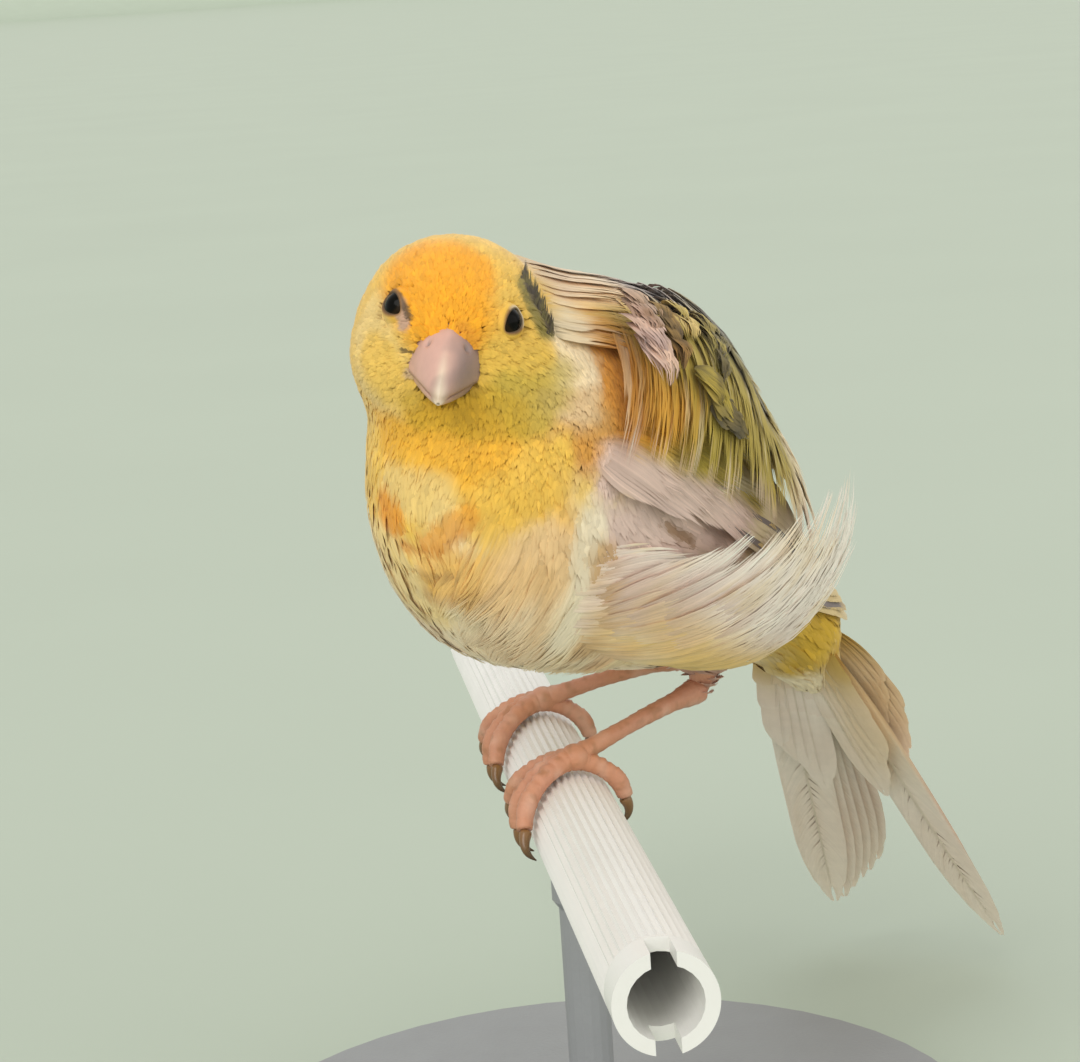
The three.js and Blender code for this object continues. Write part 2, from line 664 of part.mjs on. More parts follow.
// Legs: feathered thigh, bare shank, a foot of four toes round the perch, and its claws
function makeThigh(leg, fleshRoom) {
  const beyond = add(leg.ankle, unit(sub(leg.ankle, leg.knee)), 0.7 * ANKLE_RADIUS);
  const path = [0, 0.3, 0.6, 0.85, 1].map((t) => blend(leg.knee, beyond, t));
  const radii = THIGH_SHARES.map((share) => share * THIGH_RADIUS);
  return fuse([tube(path, radii, 10).subtract(fleshRoom)]);
}

const palmOf = (leg) => [0.6, leg.along, PERCH_HEIGHT + PERCH_RADIUS + GAP + PALM_RADIUS];

function makeShank(leg) {
  const palm = palmOf(leg);
  const down = unit(sub(palm, leg.ankle));
  const top = add(leg.ankle, down, ANKLE_RADIUS + GAP);
  const bottom = add(palm, down, -(HEEL_LENGTH + GAP));
  const path = [0, 0.12, 0.5, 0.88, 1].map((t) => blend(top, bottom, t));
  return tube(path, SHANK_RADII, 10);
}

// The place on a toe's way round the perch, by its angle from the top
function roundPerch(leg, toe, angle, clear) {
  const turn = radians(angle);
  const radius = PERCH_RADIUS + GAP + clear;
  const beside = toe.fan * clamp(angle / toe.reach, 0, 1.2);
  return [toe.direction * radius * Math.sin(turn), leg.along + beside, PERCH_HEIGHT + radius * Math.cos(turn)];
}

function makeFoot(leg) {
  const palm = palmOf(leg);
  const ball = new THREE.SphereGeometry(PALM_RADIUS, 8, 6);
  ball.translate(...palm);
  const heel = tube([palm, add(palm, unit(sub(leg.ankle, palm)), HEEL_LENGTH)], HEEL_RADII, 8);
  const toes = TOES.map((toe) => {
    const joints = [0, 0.25, 0.5, 0.75, 1];
    const radii = TOE_SHARES.map((share) => share * TOE_RADIUS);
    const path = joints.map((t, k) => roundPerch(leg, toe, t * toe.reach, radii[k] + 0.05));
    return tube(path, radii, 6);
  });
  return fuse([solidOf(ball), heel, ...toes]);
}

function makeClaw(leg, toe) {
  const steps = [0, 0.35, 0.7, 1];
  const from = toe.reach + CLAW_START;
  const path = steps.map((t) => roundPerch(leg, toe, from + t * CLAW_REACH, mix(0.75, 0.3, t) + 0.5 * Math.sin(Math.PI * t)));
  return tube(path, CLAW_RADII, 6);
}

// Perch: a fluted tube with a smooth collar at its near end
function makePerch() {
  const ring = (radius, count) => Array.from({ length: count }, (_, k) => {
    const turn = 2 * Math.PI * k / count;
    const deep = typeof radius === 'function' ? radius(k) : radius;
    return new THREE.Vector2(deep * Math.cos(turn), deep * Math.sin(turn));
  });
  const extrude = (points, from, depth) => {
    const geometry = new THREE.ExtrudeGeometry(new THREE.Shape(points), { depth, bevelEnabled: false });
    geometry.rotateX(-Math.PI / 2);
    geometry.translate(0, from, PERCH_HEIGHT);
    return solidOf(geometry);
  };
  const fluted = ring((k) => PERCH_RADIUS - (k % 2 ? RIB_DEPTH : 0), 2 * PERCH_RIBS);
  const tubeSolid = extrude(fluted, PERCH_NEAR + COLLAR_LENGTH - 0.5, PERCH_LENGTH - COLLAR_LENGTH + 0.5);
  const collar = extrude(ring(PERCH_RADIUS, 2 * PERCH_RIBS), PERCH_NEAR, COLLAR_LENGTH);
  const bore = extrude(ring(BORE_RADIUS, 24), PERCH_NEAR - 1, PERCH_LENGTH + 2);
  const slot = new THREE.BoxGeometry(SLOT_WIDTH, 2 * SLOT_DEPTH, 4 * PERCH_RADIUS);
  slot.translate(0, PERCH_NEAR, PERCH_HEIGHT);
  return fuse([fuse([tubeSolid, collar]).subtract(bore).subtract(solidOf(slot))]);
}

// Display stand: a turned base, and a rod whose cradle fits the perch's underside
function makeBase() {
  const profile = [
    [0, 0], [BASE_RADIUS - BASE_EDGE, 0], [BASE_RADIUS, BASE_EDGE], [BASE_RADIUS, BASE_THICKNESS - BASE_EDGE],
    [BASE_RADIUS - BASE_EDGE, BASE_THICKNESS], [0, BASE_THICKNESS],
  ];
  const base = new THREE.LatheGeometry(profile.map(([x, y]) => new THREE.Vector2(x, y)), ROUND_SIDES);
  base.rotateX(Math.PI / 2);
  return solidOf(base);
}

function makeRod() {
  const top = PERCH_HEIGHT - CRADLE_BELOW_AXIS;
  const foot = BASE_THICKNESS + GAP;
  const neckUp = BASE_THICKNESS + FOOT_COLLAR_HEIGHT;
  const profile = [
    [0, foot], [FOOT_COLLAR_RADIUS, foot], [FOOT_COLLAR_RADIUS, neckUp],
    [ROD_RADIUS, neckUp + 1], [ROD_RADIUS, top - CRADLE_HEIGHT], [CRADLE_RADIUS, top - CRADLE_HEIGHT + 1],
    [CRADLE_RADIUS, top], [0, top],
  ];
  const rod = new THREE.LatheGeometry(profile.map(([x, y]) => new THREE.Vector2(x, y)), 16);
  rod.rotateX(Math.PI / 2);
  const clear = new THREE.CylinderGeometry(PERCH_RADIUS + GAP, PERCH_RADIUS + GAP, CLEARING_LENGTH, ROUND_SIDES);
  const room = solidOf(clear.translate(0, 0, PERCH_HEIGHT));
  return fuse([solidOf(rod).subtract(room)]);
}

// Colours and finishes
const finish = (color, roughness) => new THREE.MeshStandardMaterial({ color, roughness, metalness: 0 });
const FINISHES = {
  yellow: finish('#d9a441', 0.85),
  cream: finish('#d9c39a', 0.85),
  olive: finish('#a08a3c', 0.85),
  horn: finish('#c4a39a', 0.45),
  dark: finish('#1c120c', 0.1),
  leg: finish('#c48a66', 0.55),
  claw: finish('#6a4c3a', 0.4),
  plastic: finish('#e4e2dc', 0.4),
  stand: finish('#8d8f90', 0.5),
};

function meshOf(name, made, material) {
  const { vertProperties, triVerts } = made.getMesh();
  const geometry = new THREE.BufferGeometry();
  geometry.setAttribute('position', new THREE.BufferAttribute(vertProperties, 3));
  geometry.setIndex(new THREE.BufferAttribute(triVerts, 1));
  geometry.computeVertexNormals();
  const mesh = new THREE.Mesh(geometry, material);
  mesh.name = name;
  return mesh;
}

const fleshSolid = polygonise(flesh, FLESH_LOW, FLESH_HIGH, FLESH_STEP);
const fleshRoom = polygonise((p) => flesh(p) - GAP - 0.1, FLESH_LOW, FLESH_HIGH, FLESH_STEP);
const model = new THREE.Group();
const place = (name, made, material) => model.add(meshOf(name, made, material));

place('head', makeHead(), FINISHES.yellow);
place('neck', makeNeck(fleshSolid), FINISHES.cream);
place('torso', makeTorso(fleshSolid, fleshRoom), FINISHES.yellow);
place('bill_upper', makeBill(UPPER_BILL), FINISHES.horn);
place('bill_lower', makeBill(LOWER_BILL), FINISHES.horn);
for (const [name, side] of [['left', 1], ['right', -1]]) {
  place(`eye_${name}`, eyeBall(side, EYE_RADIUS), FINISHES.dark);
  place(`wing_${name}`, makeWing(side), FINISHES.olive);
}
for (const half of TAIL_HALVES) place(`tail_${half.name}`, makeTailHalf(half, fleshSolid), FINISHES.cream);
for (const leg of LEGS) {
  place(`thigh_${leg.name}`, makeThigh(leg, fleshRoom), FINISHES.leg);
  place(`shank_${leg.name}`, makeShank(leg), FINISHES.leg);
  place(`foot_${leg.name}`, makeFoot(leg), FINISHES.leg);
  TOES.forEach((toe, k) => place(`claw_${leg.name}_${k + 1}`, makeClaw(leg, toe), FINISHES.claw));
}
place('perch', makePerch(), FINISHES.plastic);
place('stand_base', makeBase(), FINISHES.stand);
place('stand_rod', makeRod(), FINISHES.stand);

export default model;
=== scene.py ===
import math
import bpy
import numpy as np
from mathutils import Matrix


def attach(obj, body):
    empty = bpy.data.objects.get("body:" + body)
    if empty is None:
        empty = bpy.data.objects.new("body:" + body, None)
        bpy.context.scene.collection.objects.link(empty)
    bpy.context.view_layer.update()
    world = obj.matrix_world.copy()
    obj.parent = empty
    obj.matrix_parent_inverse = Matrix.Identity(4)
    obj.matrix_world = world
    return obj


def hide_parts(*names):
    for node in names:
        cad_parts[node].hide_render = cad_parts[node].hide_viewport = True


# A frilled canary on a short cut length of fluted plastic perch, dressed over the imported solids.
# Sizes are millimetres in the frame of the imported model, and become metres where a mesh is made.

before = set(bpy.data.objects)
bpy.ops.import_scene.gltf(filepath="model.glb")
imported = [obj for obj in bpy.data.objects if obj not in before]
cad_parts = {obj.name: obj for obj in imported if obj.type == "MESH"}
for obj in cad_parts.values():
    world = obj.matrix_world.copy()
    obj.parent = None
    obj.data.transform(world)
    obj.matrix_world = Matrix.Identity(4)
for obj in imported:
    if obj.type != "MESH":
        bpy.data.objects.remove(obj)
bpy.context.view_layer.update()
random = np.random.default_rng(seed=11)
MM = 0.001
UP = np.array([0.0, 0.0, 1.0])

# A distance beyond every part, and one too small to see
FAR = 1e3
SLIGHT = 1e-3

# The photograph, and the camera that took it
IMAGE_WIDTH = 1080
IMAGE_HEIGHT = 1062
FOCAL_PIXELS = 2878
SENSOR_WIDTH = 36
CAMERA = np.array([-36.6, -300.6, 133.0])
VERTICAL_IN_VIEW = np.array([-0.0652, 0.980, 0.189])
PERCH_VANISHING = np.array([-375.0, 531.0, -2878.0])

# Depths between which a line of sight is searched for the coat, and the step and slack
SIGHT_NEAR = 240
SIGHT_FAR = 420
SIGHT_STEP = 0.4
SIGHT_SLACK = 0.3

# Body, head and tail, as in the solids
NECK = np.array([-7.5, -1.5, 85.5])
ROOT = np.array([31.5, 29.5, 54.5])
HEAD = np.array([-9.7, -2.5, 98.2])
GAZE_AZIMUTH = -100
GAZE_ELEVATION = -8.9
HEAD_ROLL = -12
TAIL_AZIMUTH = 57
TAIL_ELEVATION = -50
TAIL_LENGTH = 63
FORK_DEPTH = 5
HEAD_CUT = -4.1

# Forms of the flesh: centres and radii in the axes of the head and of the body
SKULL = ((-0.5, 0, 0), (10, 8.9, 8.4))
CHEEKS = ((2.2, 0, -4), (8, 9.7, 6.6))
BROW = ((5, 0, 0.8), (5.6, 6.4, 5.2))
BREAST = ((9.5, 0, -2), (19.2, 15.4, 19))
BELLY = ((22, 0, -1.2), (20.5, 14.6, 15))
BACK = ((13, 0, 7), (15, 13, 11.5))

# How far from the body's axis its surface is searched, and by how many halvings
AXIS_REACH = 60.0
HALVINGS = 24

# Face
EYE = (6.15, 4.95, 2.35)
EYE_RADIUS = 2.1
LID_OPENING = (1.42, 0.95)
LID_LEAN = 0.55
LID_REACH = 2.5
LID_THICKNESS = 0.24
EYE_RIM = 1.75
EYE_RING = 2.25
BILL_ROOT = np.array([9.2, 0, -3.1])
BILL_TIP = np.array([17.3, 0, -3.3])
UPPER_BILL = {"name": "upper", "face": 1, "width": 7.4, "height": 5.1}
LOWER_BILL = {"name": "lower", "face": -1, "width": 6.2, "height": 1.7}
NOSTRIL = (11.0, 1.9, 0.5)
BILL_PINK = np.array([0.88, 0.76, 0.8])

# Legs and perch
PERCH_HEIGHT = 42
PERCH_RADIUS = 5
GAP = 0.3
PALM_RADIUS = 1.5
TOE_RADIUS = 1.05
CLAW_REACH = 28
LEGS = [
    {"name": "left", "along": 2.4, "ankle": (16.2, 12, 51.8), "knee": (20, 13, 65)},
    {"name": "right", "along": 29.4, "ankle": (16.8, 27.5, 52.2), "knee": (22, 22, 64)},
]
THIGH_RADIUS = 5.2
TOES = [
    {"direction": -1, "reach": 80, "fan": -6.5},
    {"direction": -1, "reach": 92, "fan": -0.8},
    {"direction": -1, "reach": 80, "fan": 5.5},
    {"direction": 1, "reach": 74, "fan": 0.6},
]

# Depth of the coat over the skin, on the head and on the body
HEAD_COAT = 0.7
BODY_COAT = 1.7
THIGH_COAT = 0.5

# Short feathers: their spacing, and the pieces they are shared among
HEAD_SPACING = 0.4
HEAD_PIECES = 3
BODY_SPACING = 1.0
BODY_PIECES = 5

# Grid of the skin, from corner to corner
SKIN_LOW = (-34, -26, 38)
SKIN_HIGH = (48, 48, 114)
SKIN_STEP = 0.8

# Unwrap: a map of the head and a map of the body, side by side, and the patch that each tuft takes
MAP_WIDTH = 0.42
MAP_HEIGHT = 0.9
HEAD_MAP = (0.03, 0.05)
BODY_MAP = (0.53, 0.05)
BODY_MAP_START = 28
BODY_MAP_LENGTH = 90
ROLL_OFF = 10.0
GIRTH = 17.0
SEAM = 0.2
PATCH = 0.003

# Marks of colour, from the ground up: tone, ends in the photograph's pixels, radius, strength,
# raggedness, and whether the other side has it too
MARKS_FROM_PHOTO = {
    # Body grounds
    "belly": ("cream", (480, 640), (600, 600), 15, 1.0, 0.35, True),
    "flank frill": ("lavender", (640, 560), (760, 590), 9, 1.0, 0.35, True),
    "lower flank": ("straw", (660, 650), (780, 640), 4.5, 1.0, 0.35, True),
    "rump": ("mustard", (812, 600), (822, 650), 8, 1.0, 0.35, True),
    "rump shade": ("moss", (800, 578), (828, 584), 2.0, 0.5, 0.35, True),
    "tail root": ("cream", (800, 700), (850, 800), 7, 1.0, 0.35, False),
    # Back and shoulders
    "nape": ("peach", (560, 290), (600, 300), 7, 1.0, 0.35, True),
    "nape streak": ("ivory", (575, 285), (610, 300), 2.2, 0.6, 0.35, True),
    "upper back": ("mauve", (645, 300), (672, 330), 5.0, 0.9, 0.35, True),
    "saddle": ("olive", (655, 390), (730, 480), 10.5, 1.0, 0.35, True),
    "ridge of the back": ("moss", (705, 320), (722, 345), 5.0, 0.8, 0.35, True),
    "shoulder": ("orange", (615, 380), (650, 420), 4.5, 0.6, 0.35, True),
    # Painted shade: the rust band stands for the shade on the orange neck, between neck and wing
    "side of the neck": ("rust", (592, 350), (606, 440), 5.2, 0.8, 0.35, True),
    "wing edge": ("lavender", (618, 474), (735, 538), 3.6, 0.95, 0.35, True),
    # Ruff and neck
    "ruff": ("cream", (568, 330), (575, 400), 3.4, 0.9, 0.35, True),
    "ruff shade": ("tan", (520, 425), (590, 410), 3.2, 0.55, 0.35, True),
    # Breast
    "left breast": ("gold", (505, 470), (545, 560), 5.6, 0.75, 0.35, False),
    "throat": ("gold", (400, 430), (470, 440), 5.2, 0.95, 0.35, False),
    "breast crest": ("lemon", (500, 520), (540, 480), 4.0, 0.7, 0.35, False),
    "pale breast patch": ("straw", (392, 490), (430, 500), 3.4, 0.8, 0.35, False),
    "right breast": ("straw", (385, 555), (420, 600), 4.2, 0.8, 0.35, False),
    "breast foot": ("gold", (440, 575), (500, 590), 3.8, 0.7, 0.35, False),
    "breast spot": ("orange", (384, 505), (392, 520), 2.2, 0.95, 0.35, False),
    "upper swirl": ("orange", (425, 545), (468, 515), 1.3, 0.7, 0.35, False),
    # Painted shade: this mark and the next three darken the creases of the breast frill
    "swirl crease": ("rust", (402, 548), (440, 552), 0.7, 0.8, 0.15, False),
    "swirl crease end": ("rust", (440, 552), (470, 528), 0.6, 0.6, 0.15, False),
    "lower crease": ("brown", (425, 578), (455, 576), 0.6, 0.5, 0.15, False),
    "belly crease": ("tan", (430, 598), (490, 596), 1.1, 0.7, 0.2, False),
    # Belly and flank streaks
    "belly side": ("peach", (540, 560), (500, 650), 5.0, 0.6, 0.35, True),
    "flank streak": ("ivory", (592, 525), (562, 640), 2.0, 0.85, 0.35, True),
    "flank shade": ("tan", (606, 560), (585, 650), 2.2, 0.75, 0.35, True),
    "belly streak": ("tan", (545, 575), (535, 640), 1.2, 0.35, 0.35, True),
    "vent": ("rust", (620, 640), (590, 665), 2.0, 0.4, 0.35, True),
    "thigh": ("skin", (690, 690), (715, 690), 4.2, 0.9, 0.35, False),
    # Dark marks of the variegated back
    "back fleck": ("umber", (668, 318), (690, 352), 0.9, 0.8, 0.5, True),
    "middle back fleck": ("umber", (700, 330), (712, 352), 1.0, 0.8, 0.5, True),
    "top fleck": ("soot", (724, 318), (728, 334), 1.1, 0.9, 0.5, True),
    "nape fleck": ("slate", (640, 285), (662, 300), 2.0, 0.8, 0.7, True),
    "saddle fleck": ("soot", (728, 380), (746, 415), 1.3, 0.85, 0.6, True),
    "wing edge fleck": ("brown", (668, 528), (694, 542), 0.8, 0.8, 0.2, True),
    # Head
    "right cheek": ("straw", (372, 330), (385, 380), 5.0, 0.9, 0.35, False),
    "right jaw": ("lemon", (378, 360), (392, 385), 3.4, 0.8, 0.35, False),
    "forehead": ("amber", (425, 262), (446, 312), 6.0, 1.0, 0.12, False),
    "crown": ("amber", (412, 275), (470, 268), 4.2, 1.0, 0.12, False),
    "left brow": ("lemon", (508, 270), (512, 292), 2.6, 0.7, 0.35, False),
    # Olive on the left jaw: mostly painted shade on the side turned from the light, partly the jaw's own
    # olive-yellow
    "left jaw": ("olive", (545, 372), (525, 400), 4.2, 0.75, 0.35, False),
    "left cheek": ("lemon", (520, 352), (545, 350), 2.4, 0.6, 0.35, False),
    # Painted shade: darker mustard across the chin, for the shade under the head
    "chin": ("mustard", (420, 410), (500, 418), 3.0, 0.65, 0.35, False),
    "skin before the right eye": ("mauve", (400, 304), (403, 324), 0.9, 0.75, 0.2, False),
    "right brow arc": ("umber", (391, 288), (402, 298), 0.42, 0.85, 0.15, False),
    "right brow arc end": ("umber", (402, 298), (409, 317), 0.42, 0.85, 0.15, False),
    "dash above the gape": ("umber", (401, 350), (407, 351), 0.3, 0.8, 0.1, False),
    "dash at the gape": ("umber", (410, 353), (414, 354), 0.3, 0.8, 0.1, False),
    "dash below the gape": ("mauve", (408, 374), (416, 375), 0.7, 0.6, 0.2, False),
    "temple": ("moss", (528, 290), (546, 330), 1.7, 0.95, 0.5, False),
    "temple middle": ("umber", (533, 286), (551, 328), 1.0, 0.9, 0.7, False),
    "left lore": ("orange", (462, 330), (473, 342), 1.0, 0.8, 0.2, False),
}

# Strokes that comb the coat: ends in the photograph's pixels, reach, and the part whose middle
# plane mirrors it, if any
STROKES_FROM_PHOTO = {
    "left cheek": ((515, 345), (560, 372), 3, "face"),
    "ruff": ((575, 330), (578, 420), 5, "body"),
    "side of the neck": ((600, 340), (606, 450), 5, "body"),
    "right throat": ((400, 425), (384, 480), 5, None),
    "right breast": ((384, 490), (396, 545), 4, None),
    "right swirl": ((400, 545), (445, 562), 4, None),
    "left throat": ((500, 440), (462, 520), 5, None),
    "left swirl": ((505, 520), (450, 575), 4, None),
    "left breast": ((545, 430), (528, 560), 5, "body"),
    "flank": ((592, 520), (560, 640), 6, "body"),
    "hind flank": ((625, 570), (590, 665), 5, "body"),
    "right belly": ((420, 590), (470, 655), 6, None),
    "left belly": ((520, 590), (498, 680), 6, "body"),
    "shoulder": ((640, 300), (672, 420), 8, "body"),
    "saddle": ((690, 330), (735, 480), 8, "body"),
    "frill": ((650, 560), (770, 585), 7, "body"),
    "below the frill": ((650, 640), (780, 635), 6, "body"),
    "rump": ((805, 590), (830, 660), 8, "body"),
}

# Lines along which single clumps of feathers grow, in the photograph's pixels
TEMPLE_LINE = ((526, 284), (552, 340))
RUFFLE_LINES = {
    "first clump": ((632, 270), (648, 298)),
    "lower first clump": ((640, 298), (656, 332)),
    "dark clump": ((660, 286), (682, 328)),
    "pale clump": ((680, 286), (692, 306)),
    "green clump": ((702, 292), (722, 328)),
    "end clump": ((722, 314), (732, 344)),
    "back edge": ((716, 360), (732, 388)),
    "last fleck": ((732, 398), (748, 414)),
}

# Clumps along the back: line, tone, darker tone, number of tufts and their length
RUFFLE = [
    ("first clump", "mauve", "brown", 12, 6.0),
    ("lower first clump", "lavender", "mauve", 12, 6.5),
    ("dark clump", "brown", "umber", 12, 6.0),
    ("pale clump", "straw", "olive", 7, 4.5),
    ("green clump", "olive", "moss", 12, 6.0),
    ("end clump", "moss", "umber", 10, 5.5),
    ("back edge", "olive", "umber", 8, 5.0),
    ("last fleck", "umber", "soot", 6, 4.5),
]
RUFFLE_HEIGHT = 6.4

# Mantle, from its lowest tier up: stations of the first and last root and tip, direction of the
# roots, and directions of the first and last tip
MANTLE_TIERS = [
    {"count": 19, "height": 4.0, "root": (5, 34), "tip": (4, 44),
     "start": 76, "low": (2, 18), "width": 6.2},
    {"count": 18, "height": 4.4, "root": (6, 33), "tip": (5, 43),
     "start": 79, "low": (10, 30), "width": 6.0},
    {"count": 17, "height": 4.8, "root": (6, 32), "tip": (6, 41),
     "start": 82, "low": (24, 41), "width": 5.8},
    {"count": 15, "height": 5.2, "root": (7, 31), "tip": (8, 39),
     "start": 86, "low": (38, 52), "width": 5.4},
    {"count": 13, "height": 5.5, "root": (8, 30), "tip": (10, 36),
     "start": 89, "low": (52, 64), "width": 4.8},
]

# Flank frill on each side: station of the first root, directions of the roots and of the bend, and
# the station from which it stands out in full
FINS = {
    "left": {"front": 2, "root": -58, "bend": -30, "full": 20},
    "right": {"front": 20, "root": -44, "bend": -20, "full": 34},
}

# Wing quills and coverts: station and direction of the first and of the last root, heights of the
# roots, stations and directions of the tips, heights of the tips, bend and width
FLIGHT_TIERS = [
    {"count": 9, "from": (11, 4), "to": (20, 21), "start": (1.1, 1.6), "station": (61, 51),
     "turn": (30, 54), "end": (1.0, 3.2), "bow": -7, "width": 4.4},
    {"count": 9, "from": (14, 32), "to": (17, 47), "start": (1.4, 1.6), "station": (47, 36),
     "turn": (40, 60), "end": (1.9, 1.9), "bow": 0, "width": 5.0},
]
COVERT_TIERS = [
    {"count": 11, "from": (8, 14), "to": (16, 44), "start": (0.2, 0.8), "station": (27, 36),
     "turn": (2, 52), "end": (2.2, 2.3), "bow": 0, "width": 5.4},
    {"count": 10, "from": (4, 8), "to": (12, 36), "start": (-0.4, 0.5), "station": (18, 27),
     "turn": (-2, 46), "end": (2.6, 2.7), "bow": 0, "width": 5.4},
    {"count": 9, "from": (0.5, 4), "to": (8, 30), "start": (-0.8, 0.2), "station": (11, 19),
     "turn": (-4, 40), "end": (2.6, 2.8), "bow": 0, "width": 5.2},
]
LOW_TIER = {"start": (-0.8, -0.4), "end": (0.8, 0.8)}

# Halves of the tail, and its quills
TAIL_HALVES = [
    {"name": "left", "side": 1, "azimuth": 42, "elevation": -50, "spread": 5},
    {"name": "right", "side": -1, "azimuth": 69, "elevation": -48, "spread": 6},
]
TAIL_QUILLS = 6
TAIL_QUILL_WIDTH = 6.4
TAIL_COVERTS = 4
TAIL_COVERT_WIDTH = 4.6
VANE_THICKNESS = 0.12

# Colours as they would be named
TONES = {
    "amber": "#f6a90f",
    "gold": "#f0b22c",
    "lemon": "#edc04f",
    "straw": "#ebcb80",
    "cream": "#f3e0ba",
    "ivory": "#f1e3c6",
    "pearl": "#fdf4e6",
    "peach": "#efcfa6",
    "orange": "#e89a1e",
    "rust": "#d08a34",
    "tan": "#c99c5c",
    "brown": "#8a6236",
    "umber": "#4a3922",
    "soot": "#2b2a20",
    "olive": "#b7a038",
    "moss": "#84772c",
    "mustard": "#c9a01c",
    "lavender": "#dcc0b4",
    "mauve": "#b79c96",
    "slate": "#7f7270",
    "blush": "#e6c3ae",
    "skin": "#c98f75",
}

# Finishes of the perch, the stand and the floor, as linear light
PERCH_TONE = (0.86, 0.85, 0.82)
STAND_TONE = (0.30, 0.31, 0.32)
FLOOR_TONE = (0.50, 0.57, 0.475)

# Floor: its reach to the front, to the sides and to the back, its curve and the top of the wall
FLOOR_FRONT = -6000.0
FLOOR_SIDE = 30000.0
FLOOR_BACK = 36000.0
FLOOR_CURVE = 3000.0
WALL_TOP = 9000.0

# Suns: name, the side they shine from, power, spread in degrees and tone
SUNS = [
    ("key", (-520, -620, 720), 1.1, 38, (1.0, 0.98, 0.94)),
    ("fill", (700, -420, 230), 0.6, 60, (1.0, 0.97, 0.92)),
    ("front", (-160, -700, 60), 0.55, 60, (1.0, 0.97, 0.93)),
    ("back", (300, 620, 560), 0.35, 60, (1.0, 1.0, 0.97)),
]
SKY_TONE = (1.0, 0.985, 0.95)
SKY_POWER = 0.66


def unit(vector):
    return vector / np.maximum(np.linalg.norm(vector, axis=-1, keepdims=True), 1e-9)


def mix(a, b, share):
    return a + (b - a) * share


def bow(start, over, end, share):
    """Points at shares of the way along a curve from start to end that leans towards a third place."""
    return mix(mix(start, over, share), mix(over, end, share), share)


def quarter_wave(share, full):
    """Rises from 0 to 1 while a share rises to a full value, steeply at first."""
    return np.sin(np.clip(share / full, 0, 1) * math.pi / 2)


def ease(value, low, high):
    share = np.clip((value - low) / (high - low), 0, 1)
    return share * share * (3 - 2 * share)


def dot(a, b):
    return np.sum(a * b, axis=-1)


def colour(name):
    """A named tone as linear light."""
    text = TONES[name]
    coded = np.array([int(text[k:k + 2], 16) / 255 for k in (1, 3, 5)])
    return np.where(coded <= 0.04045, coded / 12.92, ((coded + 0.055) / 1.055) ** 2.4)


def heading(azimuth, elevation):
    a, e = math.radians(azimuth), math.radians(elevation)
    return np.array([math.cos(a) * math.cos(e), math.sin(a) * math.cos(e), math.sin(e)])


class Frame:
    """A place and three axes, in which points are read and set."""

    def __init__(self, origin, axes):
        self.origin = np.asarray(origin, float)
        self.axes = np.asarray(axes, float)

    def at(self, x, y, z):
        x, y, z = (np.asarray(value, float)[..., None] for value in (x, y, z))
        return self.origin + x * self.axes[0] + y * self.axes[1] + z * self.axes[2]

    def local(self, points):
        return (points - self.origin) @ self.axes.T

    def mirrored(self, points):
        return points - 2 * dot(points - self.origin, self.axes[1])[..., None] * self.axes[1]


def body_frame():
    tailwards = unit(ROOT - NECK)
    leftwards = unit(np.cross(tailwards, UP))
    return Frame(NECK, [tailwards, leftwards, np.cross(leftwards, tailwards)])


def head_frame():
    gaze = heading(GAZE_AZIMUTH, GAZE_ELEVATION)
    level_left = unit(np.cross(UP, gaze))
    level_up = np.cross(gaze, level_left)
    roll = math.radians(HEAD_ROLL)
    left = level_left * math.cos(roll) + level_up * math.sin(roll)
    return Frame(HEAD, [gaze, left, np.cross(gaze, left)])


def tail_frame():
    along = heading(TAIL_AZIMUTH, TAIL_ELEVATION)
    left = unit(np.cross(along, UP))
    return Frame(ROOT, [along, left, np.cross(left, along)])


BODY = body_frame()
FACE = head_frame()
TAIL = tail_frame()


# Fields, negative inside the flesh

def ellipsoid(points, place, centre, radii):
    x = (place.local(points) - np.array(centre, float)) / np.array(radii, float)
    near = np.sqrt(dot(x, x))
    far = np.sqrt(dot(x / radii, x / radii))
    return near * (near - 1) / np.maximum(far, 1e-6)


def taper(points, a, b, radius_a, radius_b):
    a, b = np.asarray(a, float), np.asarray(b, float)
    share = np.clip(dot(points - a, b - a) / dot(b - a, b - a), 0, 1)
    away = np.linalg.norm(points - a - share[..., None] * (b - a), axis=-1)
    return away - mix(radius_a, radius_b, share)


def join(x, y, softness):
    share = np.clip(0.5 + 0.5 * (y - x) / softness, 0, 1)
    return mix(y, x, share) - softness * share * (1 - share)


def head_field(points):
    skull = ellipsoid(points, FACE, *SKULL)
    cheeks = ellipsoid(points, FACE, *CHEEKS)
    brow = ellipsoid(points, FACE, *BROW)
    return join(join(skull, cheeks, 2.5), brow, 2)


def torso_field(points):
    breast = ellipsoid(points, BODY, *BREAST)
    belly = ellipsoid(points, BODY, *BELLY)
    back = ellipsoid(points, BODY, *BACK)
    rump = taper(points, BODY.at(33, 0, 1), BODY.at(57, 0, -0.5), 9.4, 5.2)
    stump = taper(points, ROOT, TAIL.at(7, 0, 0), 5, 3.4)
    return join(join(join(join(breast, belly, 6), rump, 7), back, 5), stump, 3)


def flesh(points):
    neck = taper(points, FACE.at(-3, 0, -3), BODY.at(4, 0, 2), 9.5, 13.4)
    return join(join(torso_field(points), neck, 6), head_field(points), 4)


def lie(points):
    """The surface that the coat lies along, with a slim continuation down the tail."""
    return join(flesh(points), taper(points, TAIL.at(6, 0, 0), TAIL.at(45, 0, 0), 3.6, 2.5), 4)


def thigh(points, leg):
    knee, ankle = np.array(leg["knee"], float), np.array(leg["ankle"], float)
    middle = mix(knee, ankle, 0.55)
    low = mix(knee, ankle, 0.93)
    upper = taper(points, knee, middle, THIGH_RADIUS, 0.62 * THIGH_RADIUS)
    return join(upper, taper(points, middle, low, 0.62 * THIGH_RADIUS, 0.3 * THIGH_RADIUS), 1)


